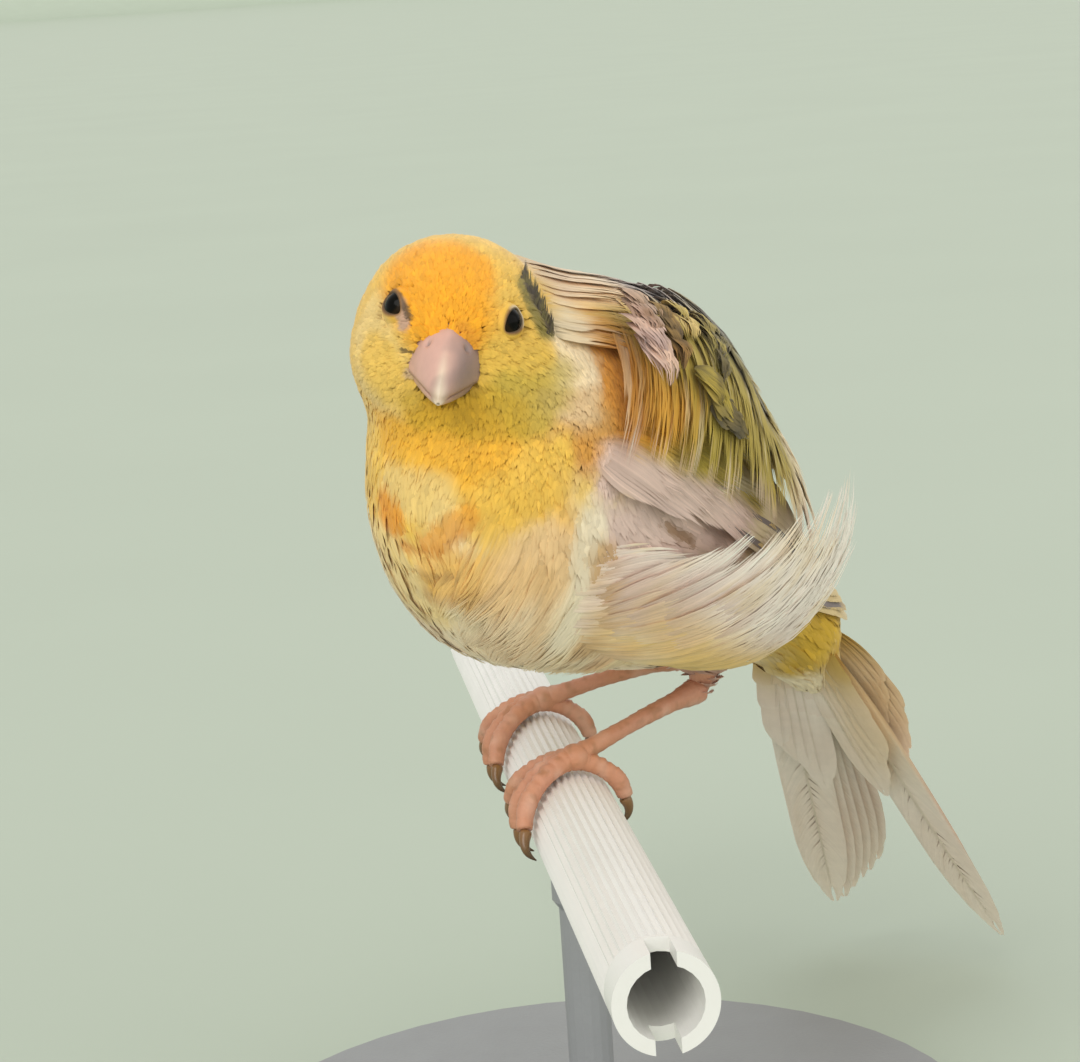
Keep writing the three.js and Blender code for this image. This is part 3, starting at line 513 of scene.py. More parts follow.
def clad(points):
    """The flesh and both feathered thighs."""
    whole = flesh(points)
    for leg in LEGS:
        whole = join(whole, thigh(points, leg), 2)
    return whole


def above_cut(points):
    """How far points lie above the cut between head and neck."""
    return dot(points - HEAD, THROAT) - HEAD_CUT


def coat_depth(points):
    return mix(BODY_COAT, HEAD_COAT, ease(above_cut(points), -6, 3))


def skin_field(points):
    whole = flesh(points) + coat_depth(points)
    for leg in LEGS:
        whole = join(whole, thigh(points, leg) + THIGH_COAT, 2)
    return whole


THROAT = unit(0.51 * FACE.axes[0] + 0.86 * FACE.axes[2])
PROBES = np.array([(1, -1, -1), (-1, -1, 1), (-1, 1, -1), (1, 1, 1)], float)


def slope(field, points):
    reach = 0.05
    return unit(sum(probe * field(points + reach * probe)[..., None] for probe in PROBES))


def settle(points, height, field=lie, steps=4):
    """Moves points along the field's slope to a height above its surface."""
    for _ in range(steps):
        points = points + slope(field, points) * (height - field(points))[..., None]
    return points


def on_body(station, direction, height):
    """Points at a station, a direction about the body's axis and a height.

    Direction 0 is the left side and 90 the back.
    """
    turn = np.radians(direction)
    out = np.cos(turn)[..., None] * BODY.axes[1] + np.sin(turn)[..., None] * BODY.axes[2]
    start = BODY.at(station, 0, 0)
    low, high = np.zeros_like(turn), np.full_like(turn, AXIS_REACH)
    for _ in range(HALVINGS):
        middle = (low + high) / 2
        inside = lie(start + out * middle[..., None]) < height
        low = np.where(inside, middle, low)
        high = np.where(inside, high, middle)
    return start + out * low[..., None]


# Camera, and the place on the coat that a point of the photograph shows

def camera_axes():
    up = unit(VERTICAL_IN_VIEW)
    along_perch = unit(PERCH_VANISHING)
    along_perch = unit(along_perch - up * dot(along_perch, up))
    return np.array([np.cross(along_perch, up), along_perch, up])


VIEW = camera_axes()


def sight(pixel):
    x = (pixel[0] - IMAGE_WIDTH / 2) / FOCAL_PIXELS
    y = -(pixel[1] - IMAGE_HEIGHT / 2) / FOCAL_PIXELS
    return unit(VIEW @ np.array([x, y, -1.0]))


def on_coat(pixel, height=0.0):
    """Where the line of sight through a pixel meets a height over the flesh, or comes closest to it."""
    depths = np.arange(SIGHT_NEAR, SIGHT_FAR, SIGHT_STEP)
    points = CAMERA + depths[:, None] * sight(pixel)
    heights = lie(points)
    met = np.nonzero(heights < SIGHT_SLACK + height)[0]
    best = met[0] if len(met) else int(np.argmin(heights))
    return settle(points[best:best + 1], height)[0]


def make_camera():
    lens = bpy.data.cameras.new("camera")
    lens.lens = SENSOR_WIDTH * FOCAL_PIXELS / IMAGE_WIDTH
    lens.sensor_width = SENSOR_WIDTH
    lens.clip_start = 0.01
    lens.clip_end = 50
    holder = bpy.data.objects.new("camera", lens)
    turn = Matrix([list(row) for row in VIEW]).to_4x4()
    holder.matrix_world = Matrix.Translation([value * MM for value in CAMERA]) @ turn
    bpy.context.scene.collection.objects.link(holder)
    bpy.context.scene.camera = holder


# Noise and markings

# Factors that scramble the number of a grid cell
CELL_FACTORS = (73856093, 19349663, 83492791)
SEED_FACTOR = 40503
SEED_OFFSET = 977
MIX_FACTOR = 1274126177
LOW_BITS = 65535


def scrambled(cell, seed):
    """A value from 0 to 1 for each grid cell, without a pattern."""
    mixed = seed * SEED_FACTOR + SEED_OFFSET
    for axis, factor in enumerate(CELL_FACTORS):
        mixed = mixed ^ cell[..., axis] * factor
    mixed = (mixed ^ (mixed >> 13)) * MIX_FACTOR
    return ((mixed ^ (mixed >> 16)) & LOW_BITS) / LOW_BITS


def noise(points, grain, seed):
    """Smooth noise from 0 to 1 with features about one grain across."""
    scaled = points / grain + 1000
    cell = np.floor(scaled).astype(np.int64)
    share = scaled - cell
    share = share * share * (3 - 2 * share)
    total = np.zeros(points.shape[:-1])
    for corner in range(8):
        offset = np.array([corner & 1, corner >> 1 & 1, corner >> 2])
        weight = np.prod(np.where(offset == 1, share, 1 - share), axis=-1)
        total = total + scrambled(cell + offset, seed) * weight
    return total


class Mark:
    """A stroke of colour along a line over the coat."""

    def __init__(self, tone, start, end, radius, strength, ragged, on_both_sides):
        self.tint = colour(tone)
        ends = (on_coat(start), on_coat(end))
        self.lines = [ends]
        if on_both_sides:
            self.lines.append(tuple(BODY.mirrored(point) for point in ends))
        self.radius = radius
        self.strength = strength
        self.ragged = ragged

    def weight(self, points, waver):
        away = np.full(points.shape[:-1], FAR)
        for a, b in self.lines:
            away = np.minimum(away, taper(points, a, b + SLIGHT, 0, 0))
        away = away / self.radius + self.ragged * (waver - 0.5) * 2
        return self.strength * (1 - ease(away, 0.55, 1.15))


MARKS = [Mark(*mark) for mark in MARKS_FROM_PHOTO.values()]


def ground(points):
    """The colour below all markings: yellow on the head and breast, paler behind."""
    s = BODY.local(points)[..., 0]
    tint = mix(colour("lemon"), colour("straw"), ease(s, -2, 14)[..., None])
    tint = mix(tint, colour("cream"), ease(s, 14, 30)[..., None])
    return mix(tint, colour("lemon"), ease(above_cut(points), -3, 2)[..., None])


def markings(points):
    """The coat's colour at any points, which are first brought down to the lie of the coat. Some of its marks
    are painted shade.
    """
    flat = points.reshape(-1, 3)
    on_lie = flat - slope(lie, flat) * lie(flat)[:, None]
    tint = ground(on_lie)
    broad = noise(on_lie, 3.2, 1)
    fine = noise(on_lie, 1.1, 2)
    waver = 0.55 * broad + 0.45 * fine
    for mark in MARKS:
        tint = mix(tint, mark.tint, mark.weight(on_lie, waver)[:, None])
    return tint.reshape(points.shape)


# The way the feathers lie

class Stroke:
    """A comb stroke along a line over the coat."""

    def __init__(self, start, end, reach, mirrored_in):
        a, b = on_coat(start), on_coat(end)
        self.lines = [(a, b)]
        if mirrored_in:
            plane = {"body": BODY, "face": FACE}[mirrored_in]
            self.lines.append((plane.mirrored(a), plane.mirrored(b)))
        self.reach = reach

    def pull(self, points):
        total = np.zeros_like(points)
        for a, b in self.lines:
            away = taper(points, a, b, 0, 0) / self.reach
            total = total + np.exp(-away * away)[..., None] * unit(b - a)
        return total


STROKES = [Stroke(*stroke) for stroke in STROKES_FROM_PHOTO.values()]
BILL_BASE = FACE.at(12.5, 0, -1.5)


def flow(points):
    """The direction of the lie at points on the coat, along its surface."""
    from_bill = unit(points - BILL_BASE)
    down_neck = unit(BODY.at(14, 0, -14) - HEAD)
    s = BODY.local(points)[..., 0]
    trunk = mix(down_neck, BODY.axes[0], ease(s, -6, 18)[..., None])
    base = mix(trunk, from_bill, ease(above_cut(points), -4, 3)[..., None])
    pulled = base * 0.5
    for stroke in STROKES:
        pulled = pulled + stroke.pull(points)
    upright = slope(lie, points)
    return unit(pulled - dot(pulled, upright)[..., None] * upright)


# The skin's unwrap: a ball map for the head and a rolled-off map for the body

def unwrap(points, on_head):
    f, l, u = np.moveaxis(FACE.local(points), -1, 0)
    turn = np.arctan2(l, f) / (2 * math.pi) + 0.5
    rise = np.arctan2(u, np.hypot(f, l)) / math.pi + 0.5
    head_map = np.stack([HEAD_MAP[0] + MAP_WIDTH * turn, HEAD_MAP[1] + MAP_HEIGHT * rise], -1)
    s, left, back = np.moveaxis(BODY.local(points), -1, 0)
    out = np.hypot(left, back)
    length = np.where(s > ROLL_OFF, s - ROLL_OFF, -GIRTH * np.arctan2(ROLL_OFF - s, out))
    round_body = np.arctan2(back, left) / (2 * math.pi) + 0.5
    along_body = MAP_HEIGHT * (length + BODY_MAP_START) / BODY_MAP_LENGTH
    body_map = np.stack([BODY_MAP[0] + MAP_WIDTH * round_body, BODY_MAP[1] + along_body], -1)
    return np.where(np.asarray(on_head)[..., None], head_map, body_map)


def is_head(points):
    return above_cut(points) > 0


# Meshes

def make_object(name, points, faces, tints=None, uvs=None, normals=None):
    """A mesh object from points in millimetres and a list of face arrays of equal-sided faces."""
    mesh = bpy.data.meshes.new(name)
    mesh.vertices.add(len(points))
    mesh.vertices.foreach_set("co", (np.asarray(points, np.float32) * MM).ravel())
    loops = np.concatenate([group.ravel() for group in faces]).astype(np.int32)
    totals = np.concatenate([np.full(len(group), group.shape[1], np.int32) for group in faces])
    starts = np.concatenate([[0], np.cumsum(totals)[:-1]]).astype(np.int32)
    mesh.loops.add(len(loops))
    mesh.loops.foreach_set("vertex_index", loops)
    mesh.polygons.add(len(totals))
    mesh.polygons.foreach_set("loop_start", starts)
    mesh.polygons.foreach_set("loop_total", totals)
    mesh.update(calc_edges=True)
    mesh.polygons.foreach_set("use_smooth", np.full(len(totals), True))
    if tints is not None:
        layer = mesh.color_attributes.new("tint", "FLOAT_COLOR", "POINT")
        whole = np.ones((len(points), 4), np.float32)
        whole[:, :3] = tints
        layer.data.foreach_set("color", whole.ravel())
    if uvs is not None:
        chart = mesh.uv_layers.new(name="OFBake")
        flat = uvs if len(uvs) == len(loops) else uvs[loops]
        chart.data.foreach_set("uv", np.asarray(flat, np.float32).ravel())
    if normals is not None:
        each = normals if len(normals) == len(loops) else normals[loops]
        mesh.normals_split_custom_set(np.asarray(each, np.float32))
    made = bpy.data.objects.new(name, mesh)
    bpy.context.scene.collection.objects.link(made)
    return made


def finish_piece(made, material, slot, *replaced):
    made.data.materials.append(material)
    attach(made, "root")
    if replaced:
        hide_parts(*replaced)
    return made


def polygonise(field, low, high, step):
    """The surface of a field as squares, with one point in each grid cell that it crosses."""
    ticks = [np.arange(low[k], high[k] + step, step) for k in range(3)]
    grid = np.stack(np.meshgrid(*ticks, indexing="ij"), -1)
    values = field(grid.reshape(-1, 3)).reshape(grid.shape[:3])
    inside = values < 0
    size = np.array(values.shape) - 1
    total = np.zeros(tuple(size) + (3,))
    count = np.zeros(tuple(size))
    corners = [np.array([k & 1, k >> 1 & 1, k >> 2]) for k in range(8)]

    def window(array, corner):
        return array[tuple(slice(start, start + span) for start, span in zip(corner, size))]

    for a in corners:
        for axis in range(3):
            if a[axis]:
                continue
            b = a.copy()
            b[axis] = 1
            crossed = window(inside, a) != window(inside, b)
            va, vb = window(values, a), window(values, b)
            share = np.where(crossed, va / np.where(crossed, va - vb, 1), 0)[..., None]
            total += crossed[..., None] * mix(window(grid, a), window(grid, b), share)
            count += crossed
    active = count > 0
    numbers = np.full(tuple(size), -1)
    numbers[active] = np.arange(active.sum())
    points = total[active] / count[active][:, None]
    points = settle(points, 0.0, field, 3)
    quads = []
    for axis in range(3):
        one, two = (axis + 1) % 3, (axis + 2) % 3
        ahead = np.zeros(3, int)
        ahead[axis] = 1
        here = inside[tuple(slice(0, n - a) for n, a in zip(inside.shape, ahead))]
        there = inside[tuple(slice(a, n) for n, a in zip(inside.shape, ahead))]
        place = np.argwhere(here != there)
        ok = (place[:, one] > 0) & (place[:, two] > 0)
        place = place[ok & (place[:, one] < size[one]) & (place[:, two] < size[two])]
        ring = []
        for back_one, back_two in ((0, 0), (1, 0), (1, 1), (0, 1)):
            cell = place.copy()
            cell[:, one] -= back_one
            cell[:, two] -= back_two
            ring.append(numbers[tuple(cell.T)])
        quad = np.stack(ring, 1)
        outward = here[tuple(place.T)]
        quads.append(np.where(outward[:, None], quad, quad[:, ::-1]))
    return points, np.concatenate(quads)


def make_skin(material):
    points, quads = polygonise(skin_field, SKIN_LOW, SKIN_HIGH, SKIN_STEP)
    outward = slope(clad, points)
    tints = markings(points)
    loops = points[quads]
    heads = is_head(loops.mean(axis=1))
    uvs = unwrap(loops, np.repeat(heads[:, None], 4, 1))
    across = uvs[..., 0]
    spread = across.max(axis=1) - across.min(axis=1)
    wrapped = (spread > SEAM)[:, None] & (across < across.max(axis=1)[:, None] - SEAM)
    uvs[..., 0] = np.where(wrapped, across + MAP_WIDTH, across)
    made = make_object("skin", points, [quads], tints, uvs.reshape(-1, 2), outward)
    finish_piece(made, material, "yellow_plumage", "head", "neck", "torso", "thigh_left", "thigh_right")
    return points, quads


# Strips: the closed slender blades of which every feather is made

def strips(centres, across, lift, half, rise, two_faced=False):
    """Points, faces and soft normals of strips, each a row of rings that ends in one point."""
    count, rings = centres.shape[:2]
    half, rise = half[..., None], rise[..., None]
    corners = [centres - across * half, centres + lift * rise, centres + across * half]
    outward = [-across, 0 * across, across]
    if two_faced:
        corners.append(centres - lift * rise)
        outward.append(0 * across)
    sides = len(corners)
    stem = np.stack(corners, 2)[:, :-1].reshape(count, -1, 3)
    points = np.concatenate([stem, centres[:, -1:]], 1)
    bare = np.concatenate([np.stack(outward, 2)[:, :-1].reshape(count, -1, 3), 0 * lift[:, -1:]], 1)
    raised = spread_rings(lift, sides)
    above, below = unit(raised + 0.25 * bare), unit(0.25 * bare - raised)
    body = [
        (ring * sides + side, ring * sides + (side + 1) % sides, ring * sides + sides + (side + 1) % sides,
         ring * sides + sides + side)
        for side in range(sides) for ring in range(rings - 2)
    ]
    last = (rings - 2) * sides
    tips = [(last + side, last + (side + 1) % sides, last + sides) for side in range(sides)]
    upper, upper_tips = body[:2 * (rings - 2)], tips[:2]
    lower, lower_tips = body[2 * (rings - 2):], tips[2:]
    cap = [tuple(reversed(range(sides)))]
    start = np.arange(count)[:, None, None] * points.shape[1]
    faces, normals = [], []
    shaded = [(upper, above), (upper_tips, above), (lower, below), (lower_tips, below), (cap, below)]
    for group, shading in shaded:
        group = np.array(group)
        faces.append((group[None] + start).reshape(-1, group.shape[1]))
        normals.append(shading[:, group].reshape(-1, 3))
    return points, faces, normals, sides


def spread_rings(values, sides):
    """Values given for each ring, repeated for the ring's points."""
    stem = np.repeat(values[:, :-1], sides, axis=1)
    return np.concatenate([stem, values[:, -1:]], 1)


def on_path(path, share):
    """Values of rows of points at shares of their way, between their neighbours."""
    last = path.shape[1] - 1
    place = np.clip(share, 0, 1) * last
    index = np.minimum(place.astype(int), last - 1)
    rows = np.arange(len(path))[:, None]
    return mix(path[rows, index], path[rows, index + 1], (place - index)[..., None])


def fan(path, width, strands, rings, pinch=0.35, tilt=0.0, wave=0.0, ragged=0.08, point=0.35):
    """Strands of a tuft that leave its root together, spread to its width and close in at its tip."""
    count = len(path)
    upright = slope(lie, path)
    ahead = unit(np.gradient(path, axis=1))
    across = unit(np.cross(ahead, upright))
    lane = np.linspace(-1, 1, strands)[None] + random.uniform(-0.5, 0.5, (count, strands)) / strands
    reach = 1 - point * lane ** 2 + random.uniform(-ragged, ragged, (count, strands))
    steps = np.linspace(0, 1, rings)
    share = reach[..., None] * steps
    flat = share.reshape(count, -1)
    shape = (count, strands, rings, 3)
    centre = on_path(path, flat).reshape(shape)
    side = unit(on_path(across, flat)).reshape(shape)
    lift = unit(on_path(upright, flat)).reshape(shape)
    swell = quarter_wave(share, 0.5) * (1 - pinch * ease(share, 0.5, 1.05))
    off = lane[..., None] * 0.5 * np.asarray(width)[:, None, None] * (0.15 + 0.85 * swell)
    phase = random.uniform(0, 2 * math.pi, (count, 1, 1))
    off = off + wave * np.sin(share * 7 + phase + lane[..., None] * 0.8) * share
    raised = tilt * off + random.uniform(-0.08, 0.08, (count, strands, 1)) * share
    centre = centre + side * off[..., None] + lift * raised[..., None]
    return centre, side, lift, share, lane


class Feathers:
    """Gathers strips with their tints and places on the unwrap, and makes one mesh of them."""

    def __init__(self, name):
        self.name = name
        self.points, self.normals, self.tints, self.uvs, self.faces = [], [], [], [], []
        self.total = 0

    def add(self, centre, side, lift, half, rise, tint, uv, two_faced=False):
        points, faces, normals, sides = strips(centre, side, lift, half, rise, two_faced)
        self.points.append(points.reshape(-1, 3))
        self.normals.extend(normals)
        self.tints.append(spread_rings(tint, sides).reshape(-1, 3))
        self.uvs.append(spread_rings(uv, sides).reshape(-1, 2))
        self.faces.extend(group + self.total for group in faces)
        self.total += points.shape[0] * points.shape[1]

    def make(self, material, slot, *replaced):
        made = make_object(
            self.name,
            np.concatenate(self.points),
            self.faces,
            np.concatenate(self.tints),
            np.concatenate(self.uvs),
            np.concatenate(self.normals),
        )
        return finish_piece(made, material, slot, *replaced)


def add_fans(group, path, width, strands, rings, tint_of, thick=0.16, root_shade=0.7, blade=1.3,
             streak=0.05, clear_face=False, **shape):
    """Adds tufts or plumes along paths to a group of feathers."""
    centre, side, lift, share, lane = fan(path, width, strands, rings, **shape)
    if clear_face:
        centre = clear_of_eyes(centre)
    count = len(path)
    body = quarter_wave(share, 0.35) * (1 - 0.9 * ease(share, 0.45, 1.0))
    half = blade * 0.5 * np.asarray(width)[:, None, None] / strands * (0.35 + 0.65 * body)
    tint = tint_of(centre, share, lane)
    shade = mix(root_shade, 1.0, ease(share, 0.0, 0.55))[..., None]
    each = random.normal(1, 0.045, (count, 1, 1, 1)) * random.normal(1, streak, (count, strands, 1, 1))
    tint = np.clip(tint * shade * each, 0, 1)
    roots = path[:, 0]
    base = unwrap(roots, is_head(roots))[:, None, None, :]
    offset = np.stack(np.broadcast_arrays(lane[..., None] * 0.5, share - 0.5), -1) * PATCH
    flat = (count * strands, rings)
    group.add(
        centre.reshape(flat + (3,)),
        side.reshape(flat + (3,)),
        lift.reshape(flat + (3,)),
        half.reshape(flat),
        np.full(flat, thick),
        tint.reshape(flat + (3,)),
        (base + offset).reshape(flat + (2,)),
    )


# Short body feathers, combed over the skin

def scatter(points, quads, spacing, wanted):
    """Points spread evenly over the skin, no two closer than the spacing."""
    corners = points[quads]
    centres = corners.mean(axis=1)
    keep = wanted(centres)
    corners = corners[keep]
    diagonals = corners[:, 2] - corners[:, 0], corners[:, 3] - corners[:, 1]
    area = np.linalg.norm(np.cross(*diagonals), axis=1) / 2
    tries = int(6 * area.sum() / spacing ** 2)
    chosen = random.choice(len(corners), tries, p=area / area.sum())
    a, b = random.random((2, tries, 1))
    picked = corners[chosen]
    spots = mix(mix(picked[:, 0], picked[:, 1], a), mix(picked[:, 3], picked[:, 2], a), b)
    cells = {}
    kept = []
    for number, (spot, key) in enumerate(zip(spots, np.floor(spots / spacing).astype(int))):
        near = [
            other
            for x in (-1, 0, 1) for y in (-1, 0, 1) for z in (-1, 0, 1)
            for other in cells.get((key[0] + x, key[1] + y, key[2] + z), ())
        ]
        if near and ((np.array(near) - spot) ** 2).sum(axis=1).min() < spacing * spacing:
            continue
        cells.setdefault(tuple(key), []).append(spot)
        kept.append(number)
    return spots[kept]


def comb(roots, lengths, rise):
    """Paths along the lie of the coat, which climb early from the skin to a height above the flesh."""
    steps = 6
    path = [roots]
    here = roots
    for k in range(1, steps):
        here = here + flow(here) * (lengths / (steps - 1))[:, None]
        share = k / (steps - 1)
        depth = -coat_depth(here)
        here = settle(here, mix(depth, rise, ease(share, -0.5, 0.5)), clad, 2)
        path.append(here)
    return np.stack(path, 1)


def eye_centre(side):
    return FACE.at(EYE[0], side * EYE[1], EYE[2])


def clear_of_eyes(points):
    """Moves points of feathers off the eyes, out to their rims."""
    for side in (1, -1):
        centre = eye_centre(side)
        out = slope(flesh, centre[None])[0]
        offset = points - centre
        height = dot(offset, out)
        flat = offset - height[..., None] * out
        away = np.linalg.norm(flat, axis=-1)
        close = (away < EYE_RIM) & (height > 0) & (height < 6)
        pushed = centre + height[..., None] * out + unit(flat) * EYE_RIM
        points = np.where(close[..., None], pushed, points)
    return points


def strand_tint(points, share, lane):
    return markings(points)


def grows(centres):
    """Whether feathers grow at places on the skin: not in the rings of the eyes or under the bill."""
    off_eyes = [np.linalg.norm(centres - eye_centre(side), axis=1) for side in (1, -1)]
    local = FACE.local(centres)
    off_bill = np.hypot(local[:, 1] / 3.5, (local[:, 2] + 2.2) / 3.7)
    in_bill = (local[:, 0] > 7.6) & (off_bill < 0.9)
    return (np.minimum(*off_eyes) >= EYE_RING) & ~in_bill


def make_head_coat(points, quads, material):
    """The short feathers of the head, each piece a share of them all."""
    spacing = HEAD_SPACING
    spots = scatter(points, quads, spacing, lambda centres: (above_cut(centres) > -5) & grows(centres))
    lengths = mix(4.6, 1.7, ease(FACE.local(spots)[:, 0], -6, 9))
    lengths = mix(6.2, lengths, ease(above_cut(spots), -6, 2)) * random.uniform(0.8, 1.2, len(spots))
    turn = random.permutation(len(spots)) % HEAD_PIECES
    for number in range(HEAD_PIECES):
        group = Feathers(f"coat_head_{number + 1}")
        mine = turn == number
        path = comb(spots[mine], lengths[mine], random.uniform(-0.05, 0.13, mine.sum()))
        add_fans(group, path, 0.22 * lengths[mine] + 0.3, 4, 4, strand_tint, thick=0.04,
                 root_shade=1.0, blade=2.3, ragged=0.2, wave=0.05, clear_face=True)
        group.make(material, "yellow_plumage")


def make_body_coat(points, quads, material):
    """The short feathers of the body and thighs, in pieces from front to back."""
    spacing = BODY_SPACING
    spots = scatter(points, quads, spacing, lambda centres: above_cut(centres) < 0.5)
    s = BODY.local(spots)[:, 0]
    lengths = mix(4.6, 8.8, ease(s, -8, 12)) * random.uniform(0.8, 1.2, len(spots))
    lengths = mix(lengths, 5.0, ease(above_cut(spots), -9, -3))
    legs = np.minimum(*[thigh(spots, leg) for leg in LEGS])
    on_thigh = ease(torso_field(spots) - legs, -1, 2)
    lengths = mix(lengths, 3.4, on_thigh)
    rise = mix(random.uniform(-0.25, 0.18, len(spots)), -0.1, on_thigh)
    for number, mine in enumerate(np.array_split(np.argsort(s), BODY_PIECES)):
        group = Feathers(f"coat_body_{number + 1}")
        path = comb(spots[mine], lengths[mine], rise[mine])
        add_fans(group, path, 0.26 * lengths[mine] + 0.4, 8, 5, strand_tint, thick=0.05,
                 root_shade=1.0, blade=2.3, ragged=0.22, wave=0.14, pinch=0.5)
        group.make(material, "yellow_plumage")


# Long frills

def mirrored(direction, side):
    return direction if side > 0 else 180 - direction


def body_paths(side, start, over, end, steps=11, rise=None):
    """Paths over the body led by three places, each rows of station, direction and height."""
    t = np.linspace(0, 1, steps)[None, :, None]
    start, over, end = (np.stack(np.broadcast_arrays(*place), -1)[:, None, :] for place in (start, over, end))
    places = bow(start, over, end, t)
    if rise is not None:
        climb = np.clip(t[..., 0] / rise, 0, 1)
        places[..., 2] = mix(start[..., 2], mix(over[..., 2], end[..., 2], climb), climb)
    return on_body(places[..., 0], mirrored(places[..., 1], side), places[..., 2])


def row(count, first, last, jitter=0.0):
    return np.linspace(first, last, count) + random.uniform(-jitter, jitter, count)


def frill_tint(points, share, lane):
    """The coat's colour, with pale streaks along some strands."""
    within = np.stack([lane[..., None] * 4 + 0 * share, 0 * share, share * 1.5], -1)
    each = points.mean(axis=(1, 2))[:, None, None] * 3
    streak = ease(noise(within + each, 1.0, 5), 0.62, 0.85)
    return mix(markings(points), colour("ivory"), 0.35 * streak[..., None])


def make_mantle(material):
    """Long feathers that part along the back and fall over both shoulders, fuller behind."""
    for side, name in ((1, "left"), (-1, "right")):
        group = Feathers(f"mantle_{name}")
        for tier in MANTLE_TIERS:
            root = row(tier["count"], *tier["root"], 0.5)
            tip = row(tier["count"], *tier["tip"], 1.2)
            low = row(tier["count"], *tier["low"], 3.0)
            full = tier["height"] + random.uniform(-0.25, 0.25, tier["count"])
            if side > 0:
                height = mix(0.3 * full, full, ease(root, 4, 17))
            else:
                height = 0.6 * full * ease(root, 8, 30)
            path = body_paths(
                side,
                (root, tier["start"], -0.8),
                (mix(root, tip, 0.35), tier["start"] - 10, height),
                (tip, low, height + 0.3),
                rise=0.38,
            )
            width = tier["width"] * random.uniform(0.85, 1.15, tier["count"])
            add_fans(group, path, width, 23, 9, frill_tint, thick=0.08, tilt=0.03 * side, wave=0.2,
                     pinch=0.4, ragged=0.1, point=0.3, root_shade=0.85, blade=1.9)
        group.make(material, "olive_plumage")


def fin_tint(points, share, lane):
    """Pale lavender to white, with a yellow lower border."""
    s, left, back = np.moveaxis(BODY.local(points), -1, 0)
    direction = np.degrees(np.arctan2(back, np.abs(left)))
    tint = mix(colour("lavender"), colour("pearl"), ease(share, 0.25, 0.9)[..., None])
    border = (1 - ease(direction, -42, -22)) * ease(s, 10, 18)
    tint = mix(tint, colour("lemon"), 0.8 * border[..., None])
    tint = mix(tint, colour("straw"), 0.35 * ease(noise(points, 2.4, 9), 0.5, 0.8)[..., None])
    return mix(markings(points), tint, ease(share, 0.15, 0.65)[..., None])


def make_fins(material):
    """The flank frill, which rises from below the wing and curls out past it."""
    for side, name in ((1, "left"), (-1, "right")):
        group = Feathers(f"fin_{name}")
        fin = FINS[name]
        for layer in range(3):
            count = 11
            root = row(count, fin["front"], 29, 0.6)
            rise = row(count, -16 - 8 * layer, 40 - 10 * layer, 2.5)
            full = mix(0.4, 5.6 - 0.7 * layer, ease(root, fin["front"], fin["full"]))
            tip = row(count, 19, 39, 0.8) + layer
            path = body_paths(
                side,
                (root, fin["root"] - 4 * layer, -0.8),
                (root + 8, fin["bend"] - 7 * layer, full),
                (tip, rise, full + row(count, 0.3, 5.2)),
            )
            width = 5.4 * random.uniform(0.9, 1.15, count)
            add_fans(group, path, width, 26, 9, fin_tint, thick=0.07, tilt=0.08 * side, wave=0.25,
                     pinch=0.55, ragged=0.14, point=0.4, root_shade=0.92, blade=1.8)
        group.make(material, "cream_plumage")


def make_jabot(material):
    """Locks of the breast frill, which curl in from both sides towards the breastbone."""
    group = Feathers("breast_frill")
    for side in (1, -1):
        for layer in range(3):
            count = 10
            root = row(count, -4 + layer, 19 + layer, 0.6)
            begin = -30 - 12 * layer
            heights = (0.9 - 0.2 * layer, 0.8 - 0.2 * layer) if side > 0 else (0.0, 0.4)
            tip = root + 4 + random.uniform(-0.8, 0.8, count)
            path = body_paths(
                side,
                (root, begin, -1.0),
                (root + 2.2, begin - 24, heights[0]),
                (tip, min(begin - 44, -80) + 6 * layer, heights[1]),
                steps=9,
            )
            width = 4.2 * random.uniform(0.9, 1.2, count)
            add_fans(group, path, width, 22, 7, strand_tint, thick=0.06, tilt=0.04 * side, wave=0.2,
                     pinch=0.6, ragged=0.2, root_shade=0.95, blade=1.8)
    group.make(material, "yellow_plumage")


def make_nape(material):
    """Pale streaks that rise from the nape and stream back over the shoulders."""
    group = Feathers("nape_frill")
    for side in (1, -1):
        for layer in range(3):
            count = 9
            direction = row(count, 56, 89, 2)
            begin = -6.0 + 3 * layer
            path = body_paths(
                side,
                (begin, direction, -0.8),
                (begin + 5, direction, row(count, 1.6, 3.2 + 0.5 * layer)),
                (row(count, 5, 12, 1.5) + 2.5 * layer, direction - 10, row(count, 1.8, 4.4 + 0.4 * layer)),
                steps=8,
            )
            add_fans(group, path, np.full(count, 5.4), 26, 7, frill_tint, thick=0.05, wave=0.2,
                     pinch=0.4, ragged=0.2, root_shade=0.92, blade=1.8)
    group.make(material, "cream_plumage")


def clump_tint(tone, dark):
    """Tints a clump's strands in one tone, darker in places and towards some tips."""
    def tint_of(points, share, lane):
        blotch = ease(noise(points, 1.5, 31), 0.35, 0.75)
        tip = ease(share, 0.55, 0.95) * ease(noise(points, 2.2, 32), 0.4, 0.6)
        tint = mix(colour(tone), markings(points), 0.25)
        tint = mix(tint, colour(dark), (0.65 * blotch)[..., None])
        return mix(tint, colour(dark), (0.8 * tip)[..., None])
    return tint_of


